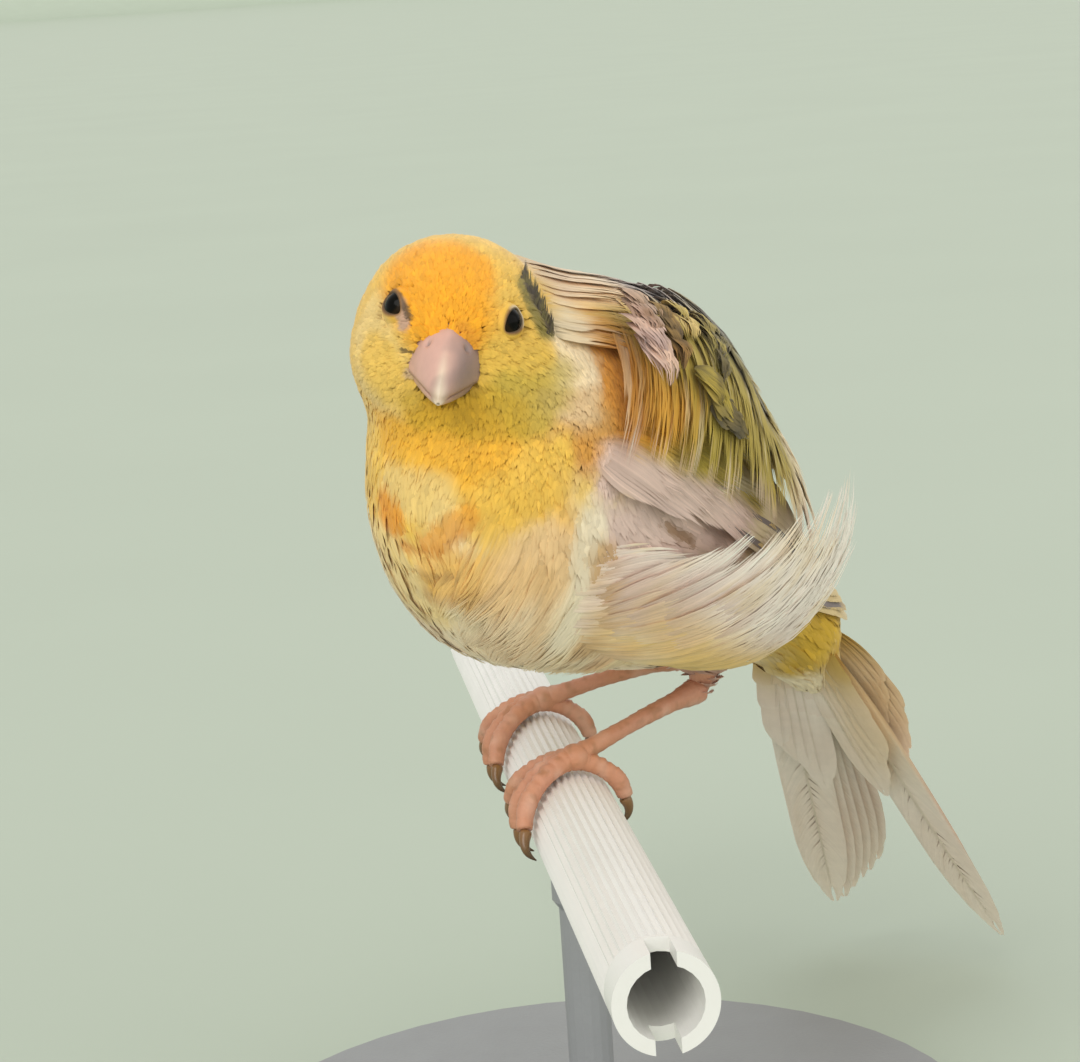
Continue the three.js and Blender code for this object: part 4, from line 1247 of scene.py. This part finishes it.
def make_ruffle(material):
    """The broken clumps of feathers that stand up along the variegated back."""
    group = Feathers("back_ruffle")
    for line, tone, dark, count, length in RUFFLE:
        start, end = (on_coat(pixel, RUFFLE_HEIGHT) for pixel in RUFFLE_LINES[line])
        roots = mix(start, end, np.linspace(0, 0.8, count)[:, None]) + random.uniform(-0.7, 0.7, (count, 3))
        for hand in (False, True):
            root = BODY.mirrored(roots) if hand else roots
            ahead = end - start + 0.6 * BODY.axes[0]
            ahead = unit(BODY.mirrored(BODY.origin + ahead) - BODY.origin if hand else ahead)
            path = [settle(root, RUFFLE_HEIGHT - 2.4)]
            lift = random.uniform(0.35, 1.1, (count, 1))
            for k in range(1, 7):
                upright = slope(lie, path[-1])
                way = ahead - dot(ahead, upright)[:, None] * upright + upright * lift * (1.3 - 0.3 * k)
                way = unit(way + random.uniform(-0.12, 0.12, (count, 3)))
                path.append(path[-1] + way * length / 6)
            width = random.uniform(1.8, 3.2, count)
            add_fans(group, np.stack(path, 1), width, 13, 6, clump_tint(tone, dark), thick=0.08,
                     wave=0.3, pinch=0.7, ragged=0.3, blade=1.5, root_shade=0.8, streak=0.13)
    group.make(material, "olive_plumage")


def make_temple(material):
    """The jagged dark feathers behind the bird's left eye."""
    group = Feathers("temple_tufts")
    count = 18
    start, end = (np.array(pixel, float) for pixel in TEMPLE_LINE)
    line = [on_coat(mix(start, end, share)) for share in np.linspace(0, 1, count)]
    roots = settle(np.array(line) + random.uniform(-0.5, 0.5, (count, 3)), np.full(count, -0.3), clad)
    upwards = FACE.axes[2] * 0.75 - FACE.axes[0] * 0.8
    path = [roots]
    for _ in range(5):
        upright = slope(lie, path[-1])
        ahead = unit(upwards - dot(upwards, upright)[:, None] * upright + 0.32 * upright)
        path.append(path[-1] + ahead * random.uniform(0.4, 0.9, (count, 1)))
    path = np.stack(path, 1)

    def dark(points, share, lane):
        streak = ease(noise(points, 0.7, 21), 0.35, 0.75)
        return mix(colour("umber"), colour("moss"), streak[..., None]) * 0.6

    add_fans(group, path, np.full(count, 0.9), 5, 5, dark, thick=0.07, pinch=0.9, ragged=0.2, point=0.5)
    group.make(material, "olive_plumage")


# Quill feathers of the wings and tail

def across_shape(share):
    """How wide a quill feather is at a share of its length, as a share of its full width."""
    swell = mix(0.5, 1, quarter_wave(share, 0.45))
    closing = np.cos(np.clip((share - 0.72) / 0.28, 0, 1) * math.pi / 2) ** 0.6
    return np.where(share < 0.72, swell, closing)


class Atlas:
    """Gives each quill feather a tile of its own on the unwrap."""

    def __init__(self, columns, rows):
        self.columns, self.rows, self.used = columns, rows, 0

    def tile(self, count):
        numbers = self.used + np.arange(count)
        self.used += count
        column, line = numbers % self.columns, numbers // self.columns
        corner = np.stack([column / self.columns, line / self.rows], -1)
        return corner, np.array([1 / self.columns, 1 / self.rows])


def add_quills(group, atlas, path, lift, width, tint_of, barbs, slant=0.15):
    """Adds quill feathers: a thin vane, a shaft, and barbs that fray at the vane's edge."""
    count = len(path)
    ahead = unit(np.gradient(path, axis=1))
    across = unit(np.cross(ahead, lift))
    width = np.asarray(width, float)
    corner, tile = atlas.tile(count)

    def uv_of(share, lane):
        inner = np.stack([0.5 + 0.42 * lane, 0.04 + 0.92 * share], -1)
        return corner.reshape((count,) + (1,) * (inner.ndim - 2) + (2,)) + inner * tile

    # Vane, as one lane on each side of the shaft
    rings = 14
    share = np.linspace(0, 0.985, rings)[None] + np.zeros((count, 1))
    for lane in (-0.5, 0.5):
        reach = 0.5 * width[:, None] * across_shape(share)
        centre = on_path(path, share) + across_at(across, share) * (lane * reach)[..., None]
        up = unit(on_path(lift, share))
        side = unit(across_at(across, share) - up * (0.16 * np.sign(lane)))
        lanes = np.full(share.shape, lane)
        thick = np.full(share.shape, VANE_THICKNESS)
        tint = tint_of(centre, share, lanes)
        group.add(centre, side, up, 0.56 * reach, thick, tint, uv_of(share, lanes), two_faced=True)

    # Shaft
    share = np.linspace(0, 0.96, 10)[None] + np.zeros((count, 1))
    centre = on_path(path, share)
    up = unit(on_path(lift, share))
    girth = mix(0.34, 0.07, share) * (width / 6)[:, None] ** 0.5
    pale = mix(tint_of(centre, share, 0 * share), colour("ivory"), 0.45)
    side = across_at(across, share)
    group.add(centre, side, up, girth, girth + VANE_THICKNESS, pale, uv_of(share, 0 * share), two_faced=True)

    # Barbs on both sides of the shaft
    for hand in (-1, 1):
        start = np.linspace(0.05, 0.93, barbs)[None] + random.uniform(-0.006, 0.006, (count, barbs))
        start = start[..., None]
        out = np.array([0.0, 0.4, 0.75, 1.0])
        place = start + (slant + 0.04 * start) * out ** 1.4 * (1 - 0.45 * start)
        place = np.minimum(place, 0.998)
        fray = random.uniform(0.97, 1.05, (count, barbs, 1))
        lane = hand * out * fray
        reach = 0.5 * width[:, None, None] * across_shape(place)
        flat = place.reshape(count, -1)
        shape = (count, barbs, len(out), 3)
        up = unit(on_path(lift, flat)).reshape(shape)
        side_way = on_path(across, flat).reshape(shape)
        centre = on_path(path, flat).reshape(shape) + side_way * (lane * reach)[..., None]
        centre = centre - up * (0.08 * np.abs(lane) * reach)[..., None]
        travel = unit(np.gradient(centre, axis=2))
        blade = unit(np.cross(travel, up))
        quill = np.linalg.norm(path[:, -1] - path[:, 0], axis=-1)
        half = (0.85 * quill / barbs * 0.5)[:, None, None]
        half = half * np.array([0.7, 1.0, 0.8, 0.2]) + 0 * place
        tone = random.normal(1, 0.015, (count, barbs, 1, 1))
        tint = np.clip(tint_of(centre, place, lane) * tone, 0, 1)
        joined = (count * barbs, len(out))
        group.add(
            centre.reshape(joined + (3,)),
            blade.reshape(joined + (3,)),
            up.reshape(joined + (3,)),
            half.reshape(joined),
            np.full(joined, 0.4 * VANE_THICKNESS),
            tint.reshape(joined + (3,)),
            uv_of(place, lane).reshape(joined + (2,)),
            two_faced=True,
        )


def across_at(across, share):
    return unit(on_path(across, share))


def wing_paths(side, tier, steps):
    count = tier["count"]
    root_station, root_turn = (row(count, tier["from"][k], tier["to"][k]) for k in (0, 1))
    tip_station = row(count, *tier["station"], 0.5)
    tip_turn = row(count, *tier["turn"], 0.8)
    start, end = row(count, *tier["start"]), row(count, *tier["end"])
    middle = (root_turn + tip_turn) / 2 + tier["bow"]
    return body_paths(
        side,
        (root_station, root_turn, start),
        ((root_station + tip_station) / 2, middle, (start + end) / 2),
        (tip_station, tip_turn, end),
        steps=steps,
    )


def make_wings(material):
    """Folded wings: quill feathers in two tiers, and soft coverts over their bases."""
    for side, name in ((1, "left"), (-1, "right")):
        group = Feathers(f"wing_feathers_{name}")
        atlas = Atlas(9, 2)
        for tier in FLIGHT_TIERS:
            path = wing_paths(side, tier, 13)
            dark = np.arange(tier["count"]) % 4 == 1

            def quill_tint(points, share, lane, dark=dark):
                tint = mix(markings(points), colour("ivory"), 0.45)
                edge = ease(np.abs(lane), 0.55, 0.9)[..., None]
                sooty = mix(colour("slate"), colour("straw"), edge)
                return np.where(dark.reshape((-1,) + (1,) * (points.ndim - 1)), sooty, tint)

            width = np.full(tier["count"], tier["width"])
            add_quills(group, atlas, path, slope(lie, path), width, quill_tint, 52)
        group.make(material, "olive_plumage", f"wing_{name}")
        soft = Feathers(f"wing_coverts_{name}")
        for tier in COVERT_TIERS if side > 0 else COVERT_TIERS[:2]:
            if side < 0:
                tier = {**tier, **LOW_TIER}
            path = wing_paths(side, tier, 10)
            width = np.full(tier["count"], tier["width"])
            add_fans(soft, path, width, 24, 8, strand_tint, thick=0.06, wave=0.15, ragged=0.12,
                     root_shade=0.92, blade=1.7, point=0.3, streak=0.08)
        soft.make(material, "olive_plumage")


def tail_tint(points, share, lane):
    """Cream and blush, greenish at the left edge and mustard at the root."""
    s, left = np.moveaxis(TAIL.local(points), -1, 0)[:2]
    tint = mix(colour("pearl"), colour("blush"), 0.5 * ease(share, 0.1, 0.8)[..., None])
    tint = mix(tint, colour("pearl"), 0.35 * ease(share, 0.6, 1.0)[..., None])
    streak = ease(noise(np.stack([lane * 3 + 0 * share, share * 2, left], -1), 0.6, 4), 0.55, 0.9)
    tint = mix(tint, colour("tan"), 0.1 * streak[..., None])
    green = ease(left, -1, 5) * (1 - ease(s, 14, 34))
    tint = mix(tint, colour("lemon"), 0.35 * green[..., None])
    return mix(tint, colour("mustard"), (0.9 * (1 - ease(s, 2, 12)))[..., None])


def quill_paths(start, over, end, steps):
    t = np.linspace(0, 1, steps)[None, :, None]
    return bow(start[:, None], over[:, None], end[:, None], t)


def make_tail(material):
    """Both halves of the tail: quills in the middle, and coverts above and below their bases."""
    for half in TAIL_HALVES:
        group = Feathers(f"tail_feathers_{half['name']}")
        atlas = Atlas(5, 4)
        direction = heading(half["azimuth"], half["elevation"])
        across = unit(np.cross(direction, UP))
        lift = np.cross(across, direction)
        order = np.arange(TAIL_QUILLS) / (TAIL_QUILLS - 1)
        rise = mix(2.1, -2.1, order)[:, None]
        start = TAIL.at(0.5, half["side"] * mix(0.8, 2.6, order), 0 * order)
        reach = TAIL_LENGTH - mix(FORK_DEPTH, 0, order) + random.uniform(-0.8, 0.8, TAIL_QUILLS)
        offset = half["side"] * mix(-0.5, 0.5, order) * half["spread"]
        begin = start + lift * rise * 0.3
        end = ROOT + direction * reach[:, None] + across * offset[:, None] + lift * rise
        middle = mix(begin, end, 0.45) + lift * rise * 0.4
        path = quill_paths(begin, middle, end, 15)
        ups = np.broadcast_to(lift, path.shape)
        width = np.full(TAIL_QUILLS, TAIL_QUILL_WIDTH)
        add_quills(group, atlas, path, ups, width, tail_tint, barbs=104, slant=0.13)
        for face, tiers in ((1, 2), (-1, 3)):
            for layer in range(tiers):
                spread = np.arange(TAIL_COVERTS) / (TAIL_COVERTS - 1)
                level = lift * face * (3.1 - 0.4 * layer)
                sideways = half["side"] * mix(0.6, 2.6, spread)
                first = TAIL.at(0.5, sideways, 0 * spread) + lift * face * 1.1
                length = mix(31, 21, spread) - 6 * layer + random.uniform(-1, 1, TAIL_COVERTS)
                last = ROOT + level + direction * length[:, None]
                last = last + across * (half["side"] * mix(0.2, 4.2, spread))[:, None]
                centre = mix(first, last, 0.5) + lift * face * 1.4
                path = quill_paths(first, centre, last, 10)
                ups = np.broadcast_to(lift * face, path.shape)
                width = np.full(TAIL_COVERTS, TAIL_COVERT_WIDTH)
                add_quills(group, atlas, path, ups, width, tail_tint, barbs=44, slant=0.18)
        group.make(material, "cream_plumage", f"tail_{half['name']}")


# Rounded tubes for bill, legs and claws

def loft(rings):
    """Points and faces of a closed skin over rings of equal counts."""
    count, sides = rings.shape[:2]
    points = np.concatenate([rings.reshape(-1, 3), rings[:1].mean(axis=1), rings[-1:].mean(axis=1)])
    k = np.arange(sides)
    quads = []
    for ring in range(count - 1):
        a = ring * sides + k
        b = ring * sides + (k + 1) % sides
        quads.append(np.stack([a, b, b + sides, a + sides], 1))
    first = np.stack([np.full(sides, count * sides), (k + 1) % sides, k], 1)
    last = (count - 1) * sides
    end = np.stack([np.full(sides, count * sides + 1), last + k, last + (k + 1) % sides], 1)
    return points, [np.concatenate(quads), np.concatenate([first, end])]


def join_lofts(lofts):
    points, faces, total = [], [], 0
    for made_points, made_faces in lofts:
        points.append(made_points)
        faces.extend(group + total for group in made_faces)
        total += len(made_points)
    return np.concatenate(points), faces


def turned(centres, radii, sides=16, hint=UP, bulge=None):
    """A tube about a path, with a radius for each ring and, if asked, one that changes round it."""
    ahead = unit(np.gradient(centres, axis=0))
    across = unit(np.cross(ahead, hint))
    third = np.cross(across, ahead)
    turn = 2 * math.pi * np.arange(sides) / sides
    radius = radii[:, None] * np.ones(sides)[None]
    if bulge is not None:
        radius = radius * bulge(np.linspace(0, 1, len(centres))[:, None], turn[None])
    ring = np.cos(turn)[None, :, None] * across[:, None] + np.sin(turn)[None, :, None] * third[:, None]
    return loft(centres[:, None] + ring * radius[..., None])


def bill_half(bill):
    """Rings of points along one half of the bill, flat where it meets the other."""
    rings, sides = 44, 48
    face = bill["face"]
    t = np.linspace(0, 1, rings)
    base = BILL_ROOT + (BILL_TIP - BILL_ROOT) * t[:, None]
    half = 0.5 * bill["width"] * (1 - t) ** 0.9 + 0.2
    tall = bill["height"] * (1 - t ** 1.4) ** 0.95 + 0.3
    turn = math.pi * np.arange(sides) / (sides - 1)
    out = half[:, None] * np.cos(turn)[None]
    ridge = 1 + (0.05 if face > 0 else 0.0) * np.exp(-((turn - math.pi / 2) / 0.22) ** 2)[None]
    rise = GAP / 2 + tall[:, None] * np.clip(np.sin(turn), 0, 1)[None] ** 0.95 * ridge
    hook = -0.5 * face * ease(t, 0.8, 1.0)[:, None] if face > 0 else 0
    z = base[:, 2:3] + face * rise + hook
    points = FACE.at(base[:, 0:1] + 0 * out, out, z)
    back = points[0] - FACE.axes[0] * 2.5
    return np.concatenate([back[None], points])


def bill_tint(points):
    """Flesh pink, with painted shade that makes the left side greyer, a pale ridge and tip, and a brown mouth
    line.
    """
    f, l, u = np.moveaxis(FACE.local(points), -1, 0)
    pink = colour("blush") * BILL_PINK
    # Painted shade: a darker mauve over the bill's left side, the side turned from the light
    tint = mix(pink, colour("mauve") * 0.6, 0.9 * ease(l, -0.2, 2.2)[:, None])
    ridge = np.exp(-((l + 0.1) / 0.5) ** 2) * ease(f, 12, 16)
    tint = mix(tint, colour("ivory"), 0.6 * ridge[:, None])
    tint = mix(tint, colour("ivory"), 0.6 * ease(f, 15.6, 17.2)[:, None])
    tint = mix(tint, colour("slate"), 0.3 * ease(noise(points, 1.6, 3), 0.5, 0.9)[:, None])
    mouth = np.exp(-((u - BILL_ROOT[2]) / 0.35) ** 2)
    return mix(tint, colour("brown"), 0.4 * mouth[:, None])


def make_bill(material):
    for bill in (UPPER_BILL, LOWER_BILL):
        points, faces = loft(bill_half(bill))
        tints = bill_tint(points)
        if bill["face"] > 0:
            for side in (1, -1):
                pit = FACE.at(NOSTRIL[0], side * NOSTRIL[1], NOSTRIL[2])
                away = np.linalg.norm(points - pit, axis=1)
                nearest = points[np.argmin(away)]
                close = np.exp(-(np.linalg.norm(points - nearest, axis=1) / 0.36) ** 2)
                inward = unit(FACE.at(11, 0, -2.5) - nearest)
                points = points + close[:, None] * inward * 0.4
                tints = mix(tints, colour("slate"), 0.7 * ease(close, 0.35, 0.8)[:, None])
        else:
            faces = [group[:, ::-1] for group in faces]
        made = make_object(f"bill_{bill['name']}_horn", points, faces, tints)
        finish_piece(made, material, "horn", f"bill_{bill['name']}")


def make_eyes(eye_material, lid_material):
    for side, name in ((1, "left"), (-1, "right")):
        centre = eye_centre(side)
        out = slope(flesh, centre[None])[0]
        depth = -flesh(centre[None])[0]
        first = unit(np.cross(out, UP))
        second = np.cross(first, out)
        angles = np.linspace(0, math.pi, 36)
        turn = 2 * math.pi * np.arange(48) / 48
        bulge = EYE_RADIUS * (1 + 0.06 * np.exp(-(angles / 0.5) ** 2))
        ring = np.cos(turn)[None, :, None] * first + np.sin(turn)[None, :, None] * second
        rings = centre + bulge[:, None, None] * (
            np.cos(angles)[:, None, None] * out + np.maximum(np.sin(angles), 1e-3)[:, None, None] * ring
        )
        points, faces = loft(rings)
        off_axis = np.arccos(np.clip(dot(unit(points - centre), out), -1, 1))
        tints = mix(colour("soot") * 0.1, colour("umber") * 0.3, ease(off_axis, 0.5, 0.62)[:, None])
        tints = mix(tints, colour("soot") * 0.2, ease(off_axis, 0.85, 1.0)[:, None])
        made = make_object(f"eyeball_{name}", points, [group[:, ::-1] for group in faces], tints)
        finish_piece(made, eye_material, "eye", f"eye_{name}")
        lean = -LID_LEAN * side
        lid_points, quads, share, round_eye = lid_patch(centre, out, first, second, lean, depth)
        pale = np.clip(-np.cos(round_eye), 0, 1) ** 0.7 if side > 0 else 0 * share
        ring = mix(colour("brown"), colour("cream"), pale[:, None])
        rim = mix(colour("umber"), ring, ease(share, 0.05, 0.16)[:, None])
        tints = mix(rim, markings(lid_points), ease(share, 0.16, 0.42)[:, None])
        made = make_object(f"lid_{name}", lid_points, [quads], tints)
        finish_piece(made, lid_material, "leg_skin")


def lid_patch(centre, out, first, second, lean, depth):
    """The lids: a skin round an almond opening, which rolls up and runs out under the feathers."""
    steps, rows = 72, 12
    turn = 2 * math.pi * np.arange(steps) / steps
    share = np.linspace(0, 1, rows)
    corner = 1 + 0.12 * np.abs(np.cos(turn)) ** 6
    opening = np.stack([LID_OPENING[0] * corner * np.cos(turn), LID_OPENING[1] * np.sin(turn)], -1)
    rim = LID_REACH * np.stack([np.cos(turn), np.sin(turn)], -1)
    flat = mix(opening[None], rim[None], share[:, None, None])
    x = flat[..., 0] * math.cos(lean) - flat[..., 1] * math.sin(lean)
    y = flat[..., 0] * math.sin(lean) + flat[..., 1] * math.cos(lean)
    span = np.hypot(x, y)
    roll = LID_THICKNESS * quarter_wave(share, 0.25)[:, None]
    ball = EYE_RADIUS + 0.03 + roll
    dome = np.sqrt(np.maximum(ball ** 2 - span ** 2, 0.05))
    height = mix(dome, depth - 0.5, ease(share, 0.45, 1.0)[:, None])
    folds = 0.03 * np.sin(share[:, None] * 22 + 0.6 * np.sin(turn * 3)) * ease(share, 0.15, 0.3)[:, None]
    points = centre + x[..., None] * first + y[..., None] * second + (height + folds)[..., None] * out
    a = np.arange(rows - 1)[:, None] * steps + np.arange(steps)
    b = np.arange(rows - 1)[:, None] * steps + (np.arange(steps) + 1) % steps
    quads = np.stack([a, a + steps, b + steps, b], -1).reshape(-1, 4)
    return points.reshape(-1, 3), quads, np.repeat(share, steps), np.tile(turn, rows)


def round_perch(leg, toe, angle, clear):
    """Places round the perch at angles from its top, in degrees."""
    turn = np.radians(angle)
    radius = PERCH_RADIUS + GAP + clear
    beside = toe["fan"] * np.clip(angle / toe["reach"], 0, 1.2)
    return np.stack([
        toe["direction"] * radius * np.sin(turn),
        leg["along"] + beside,
        PERCH_HEIGHT + radius * np.cos(turn),
    ], -1)


def scutes(number, deep=0.07):
    """Overlapping plates on the upper side of a toe or shank, and small pads below."""
    def shape(share, turn):
        edge = (share * number) % 1
        plate = deep * edge ** 2.2 * np.clip(np.sin(turn), 0, 1) ** 0.5
        pad = 0.05 * np.sin(share * number * math.pi) ** 2 * np.clip(-np.sin(turn), 0, 1)
        return 1 + plate + pad
    return shape


def leg_tint(points):
    tint = mix(colour("skin"), colour("rust"), 0.2 * noise(points, 3.0, 7)[:, None])
    tint = mix(tint, colour("brown"), 0.4 * ease(noise(points, 0.7, 8), 0.55, 0.9)[:, None])
    return mix(tint, colour("blush"), 0.3 * ease(noise(points, 1.7, 12), 0.5, 0.9)[:, None])


def make_legs(skin_material, claw_material):
    for leg in LEGS:
        name = leg["name"]
        ankle = np.array(leg["ankle"], float)
        knee = np.array(leg["knee"], float)
        palm = np.array([0.6, leg["along"], PERCH_HEIGHT + PERCH_RADIUS + GAP + PALM_RADIUS])
        t = np.linspace(0, 1, 90)[:, None]
        top = mix(ankle, knee, 0.06)
        path = mix(top, palm, t) + 0.25 * np.sin(math.pi * t) * UP
        radii = np.interp(t[:, 0], [0, 0.08, 0.2, 0.6, 0.85, 1], [1.45, 1.4, 1.02, 0.88, 1.0, 1.3])
        parts = [turned(path, radii, 20, UP, scutes(13, 0.09))]
        for toe in TOES:
            t = np.linspace(0, 1, 60)
            thickness = np.array([1.15, 0.97, 0.88, 0.97, 0.8]) * TOE_RADIUS
            radii = np.interp(t, [0, 0.25, 0.5, 0.75, 1], thickness)
            radii = radii * (1 + 0.05 * np.sin(t * 4 * 2 * math.pi) ** 2)
            centres = round_perch(leg, toe, t * toe["reach"], radii + 0.05)
            away = unit(centres[len(t) // 2] - np.array([0, leg["along"], PERCH_HEIGHT]))
            parts.append(turned(centres, radii, 16, away, scutes(9, 0.12)))
        ball_t = np.linspace(0.02, math.pi - 0.02, 20)
        ball = palm + np.cos(ball_t)[:, None] * UP * PALM_RADIUS
        parts.append(turned(ball, np.sin(ball_t) * PALM_RADIUS * 1.08, 20, BODY.axes[1]))
        points, faces = join_lofts(parts)
        made = make_object(f"leg_{name}", points, faces, leg_tint(points))
        finish_piece(made, skin_material, "leg_skin", f"shank_{name}", f"foot_{name}")
        for number, toe in enumerate(TOES):
            t = np.linspace(0, 1, 24)
            clear = mix(0.75, 0.3, t) + 0.5 * np.sin(math.pi * t)
            centres = round_perch(leg, toe, toe["reach"] + 1.5 + t * (CLAW_REACH + 2), clear)
            radii = np.interp(t, [0, 0.1, 0.35, 0.7, 1], [0.62, 0.7, 0.55, 0.34, 0.07])
            away = unit(centres[12] - np.array([0, leg["along"], PERCH_HEIGHT]))
            points, faces = turned(centres, radii, 14, away)
            tipwards = np.concatenate([np.repeat(t, 14), [0, 1]])[:, None]
            dark = mix(colour("brown"), colour("umber"), tipwards)
            made = make_object(f"nail_{name}_{number + 1}", points, faces, dark)
            finish_piece(made, claw_material, "claw", f"claw_{name}_{number + 1}")


# Materials

def new_material(name, roughness, **settings):
    material = bpy.data.materials.new(name)
    material.use_nodes = True
    shader = material.node_tree.nodes["Principled BSDF"]
    shader.inputs["Roughness"].default_value = roughness
    for socket, value in settings.items():
        shader.inputs[socket.replace("_", " ")].default_value = value
    return material, material.node_tree.nodes, material.node_tree.links, shader


def add_noise(nodes, links, scale, detail=3.0):
    place = nodes.new("ShaderNodeTexCoord")
    grain = nodes.new("ShaderNodeTexNoise")
    grain.inputs["Scale"].default_value = scale
    grain.inputs["Detail"].default_value = detail
    links.new(place.outputs["Object"], grain.inputs["Vector"])
    return grain.outputs["Fac"]


def add_bump(nodes, links, shader, height, strength, distance):
    bump = nodes.new("ShaderNodeBump")
    bump.inputs["Strength"].default_value = strength
    bump.inputs["Distance"].default_value = distance
    links.new(height, bump.inputs["Height"])
    links.new(bump.outputs["Normal"], shader.inputs["Normal"])


def vary_tint(nodes, links, shader, source, grain, low, high):
    """Makes a colour lighter and darker with a noise."""
    span = nodes.new("ShaderNodeMapRange")
    span.inputs["To Min"].default_value = low
    span.inputs["To Max"].default_value = high
    links.new(grain, span.inputs["Value"])
    scale = nodes.new("ShaderNodeVectorMath")
    scale.operation = "SCALE"
    links.new(source, scale.inputs[0])
    links.new(span.outputs["Result"], scale.inputs["Scale"])
    links.new(scale.outputs["Vector"], shader.inputs["Base Color"])


def tinted_material(name, roughness, grain_scale, spread, bump=0.0, bump_scale=900, **settings):
    """A finish whose colour is the mesh's own tint, broken up by noise."""
    material, nodes, links, shader = new_material(name, roughness, **settings)
    tint = nodes.new("ShaderNodeAttribute")
    tint.attribute_name = "tint"
    grain = add_noise(nodes, links, grain_scale)
    vary_tint(nodes, links, shader, tint.outputs["Color"], grain, 1 - spread, 1 + spread)
    rough = nodes.new("ShaderNodeMapRange")
    rough.inputs["To Min"].default_value = roughness - 0.08
    rough.inputs["To Max"].default_value = roughness + 0.08
    links.new(add_noise(nodes, links, bump_scale), rough.inputs["Value"])
    links.new(rough.outputs["Result"], shader.inputs["Roughness"])
    if bump:
        add_bump(nodes, links, shader, add_noise(nodes, links, bump_scale, 4), bump, 0.0002)
    return material


def plain_material(name, tone, roughness, spread, bump_scale, bump, **settings):
    """A moulded or painted finish with a fine grain."""
    material, nodes, links, shader = new_material(name, roughness, **settings)
    flat = nodes.new("ShaderNodeRGB")
    flat.outputs[0].default_value = (*tone, 1)
    grain = add_noise(nodes, links, 160)
    vary_tint(nodes, links, shader, flat.outputs[0], grain, 1 - spread, 1 + spread)
    add_bump(nodes, links, shader, add_noise(nodes, links, bump_scale, 5), bump, 0.00015)
    return material


def dress_carried_nodes():
    plastic = plain_material("perch_plastic", PERCH_TONE, 0.42, 0.04, 1400, 0.15)
    paint = plain_material("stand_paint", STAND_TONE, 0.5, 0.06, 2200, 0.35)
    for name, material in (("perch", plastic), ("stand_base", paint), ("stand_rod", paint)):
        carried = bpy.data.objects[name]
        carried.data.materials.clear()
        carried.data.materials.append(material)


# Floor, light and camera

def make_stage():
    """A pale floor that curves up behind the object."""
    profile = [(FLOOR_FRONT, 0.0)]
    for turn in np.linspace(0, math.pi / 2, 24):
        profile.append((FLOOR_BACK + FLOOR_CURVE * math.sin(turn), FLOOR_CURVE * (1 - math.cos(turn))))
    profile.append((FLOOR_BACK + FLOOR_CURVE, WALL_TOP))
    ends = [[(x, y, z) for y, z in profile] for x in (-FLOOR_SIDE, FLOOR_SIDE)]
    points = np.concatenate(ends)
    k = np.arange(len(profile) - 1)
    quads = np.stack([k, k + len(profile), k + 1 + len(profile), k + 1], 1)
    floor = make_object("floor", points, [quads])
    material, nodes, links, shader = new_material("floor_paper", 0.9)
    flat = nodes.new("ShaderNodeRGB")
    flat.outputs[0].default_value = (*FLOOR_TONE, 1)
    vary_tint(nodes, links, shader, flat.outputs[0], add_noise(nodes, links, 6), 0.97, 1.03)
    floor.data.materials.append(material)


def add_sun(name, place, power, spread, tone):
    """A lamp that shines from the side of a place, as evenly as daylight through a sheet of that spread."""
    sun = bpy.data.lights.new(name, "SUN")
    sun.energy = power
    sun.angle = math.radians(spread)
    sun.color = tone
    holder = bpy.data.objects.new(name, sun)
    back = unit(np.array(place, float))
    right = unit(np.cross(UP, back))
    turn = Matrix([list(row) for row in np.array([right, np.cross(back, right), back]).T]).to_4x4()
    holder.matrix_world = Matrix.Translation([value * MM for value in place]) @ turn
    bpy.context.scene.collection.objects.link(holder)


def make_lights():
    bpy.context.scene.view_settings.view_transform = "Standard"
    for sun in SUNS:
        add_sun(*sun)
    world = bpy.data.worlds.new("studio")
    world.use_nodes = True
    sky = world.node_tree.nodes["Background"]
    sky.inputs["Color"].default_value = (*SKY_TONE, 1)
    sky.inputs["Strength"].default_value = SKY_POWER
    bpy.context.scene.world = world


make_camera()
feather = tinted_material("feather", 0.72, 700, 0.07, Sheen_Weight=0.25, Sheen_Roughness=0.5)
down = tinted_material("down", 0.85, 500, 0.08, 0.6, 1500, Sheen_Weight=0.3)
horn = tinted_material("horn", 0.42, 900, 0.06, 0.25, 1200, Coat_Weight=0.15)
leg_skin = tinted_material("leg_skin", 0.55, 1200, 0.1, 0.4, 2600)
claw = tinted_material("claw_horn", 0.35, 1500, 0.1, 0.2, 1800, Coat_Weight=0.3)
eye = tinted_material("eye_gloss", 0.16, 900, 0.05, Specular_IOR_Level=0.1)

skin_points, skin_quads = make_skin(down)
make_head_coat(skin_points, skin_quads, feather)
make_body_coat(skin_points, skin_quads, feather)
make_mantle(feather)
make_fins(feather)
make_jabot(feather)
make_nape(feather)
make_ruffle(feather)
make_temple(feather)
make_wings(feather)
make_tail(feather)
make_bill(horn)
make_eyes(eye, leg_skin)
make_legs(leg_skin, claw)
dress_carried_nodes()
make_stage()
make_lights()
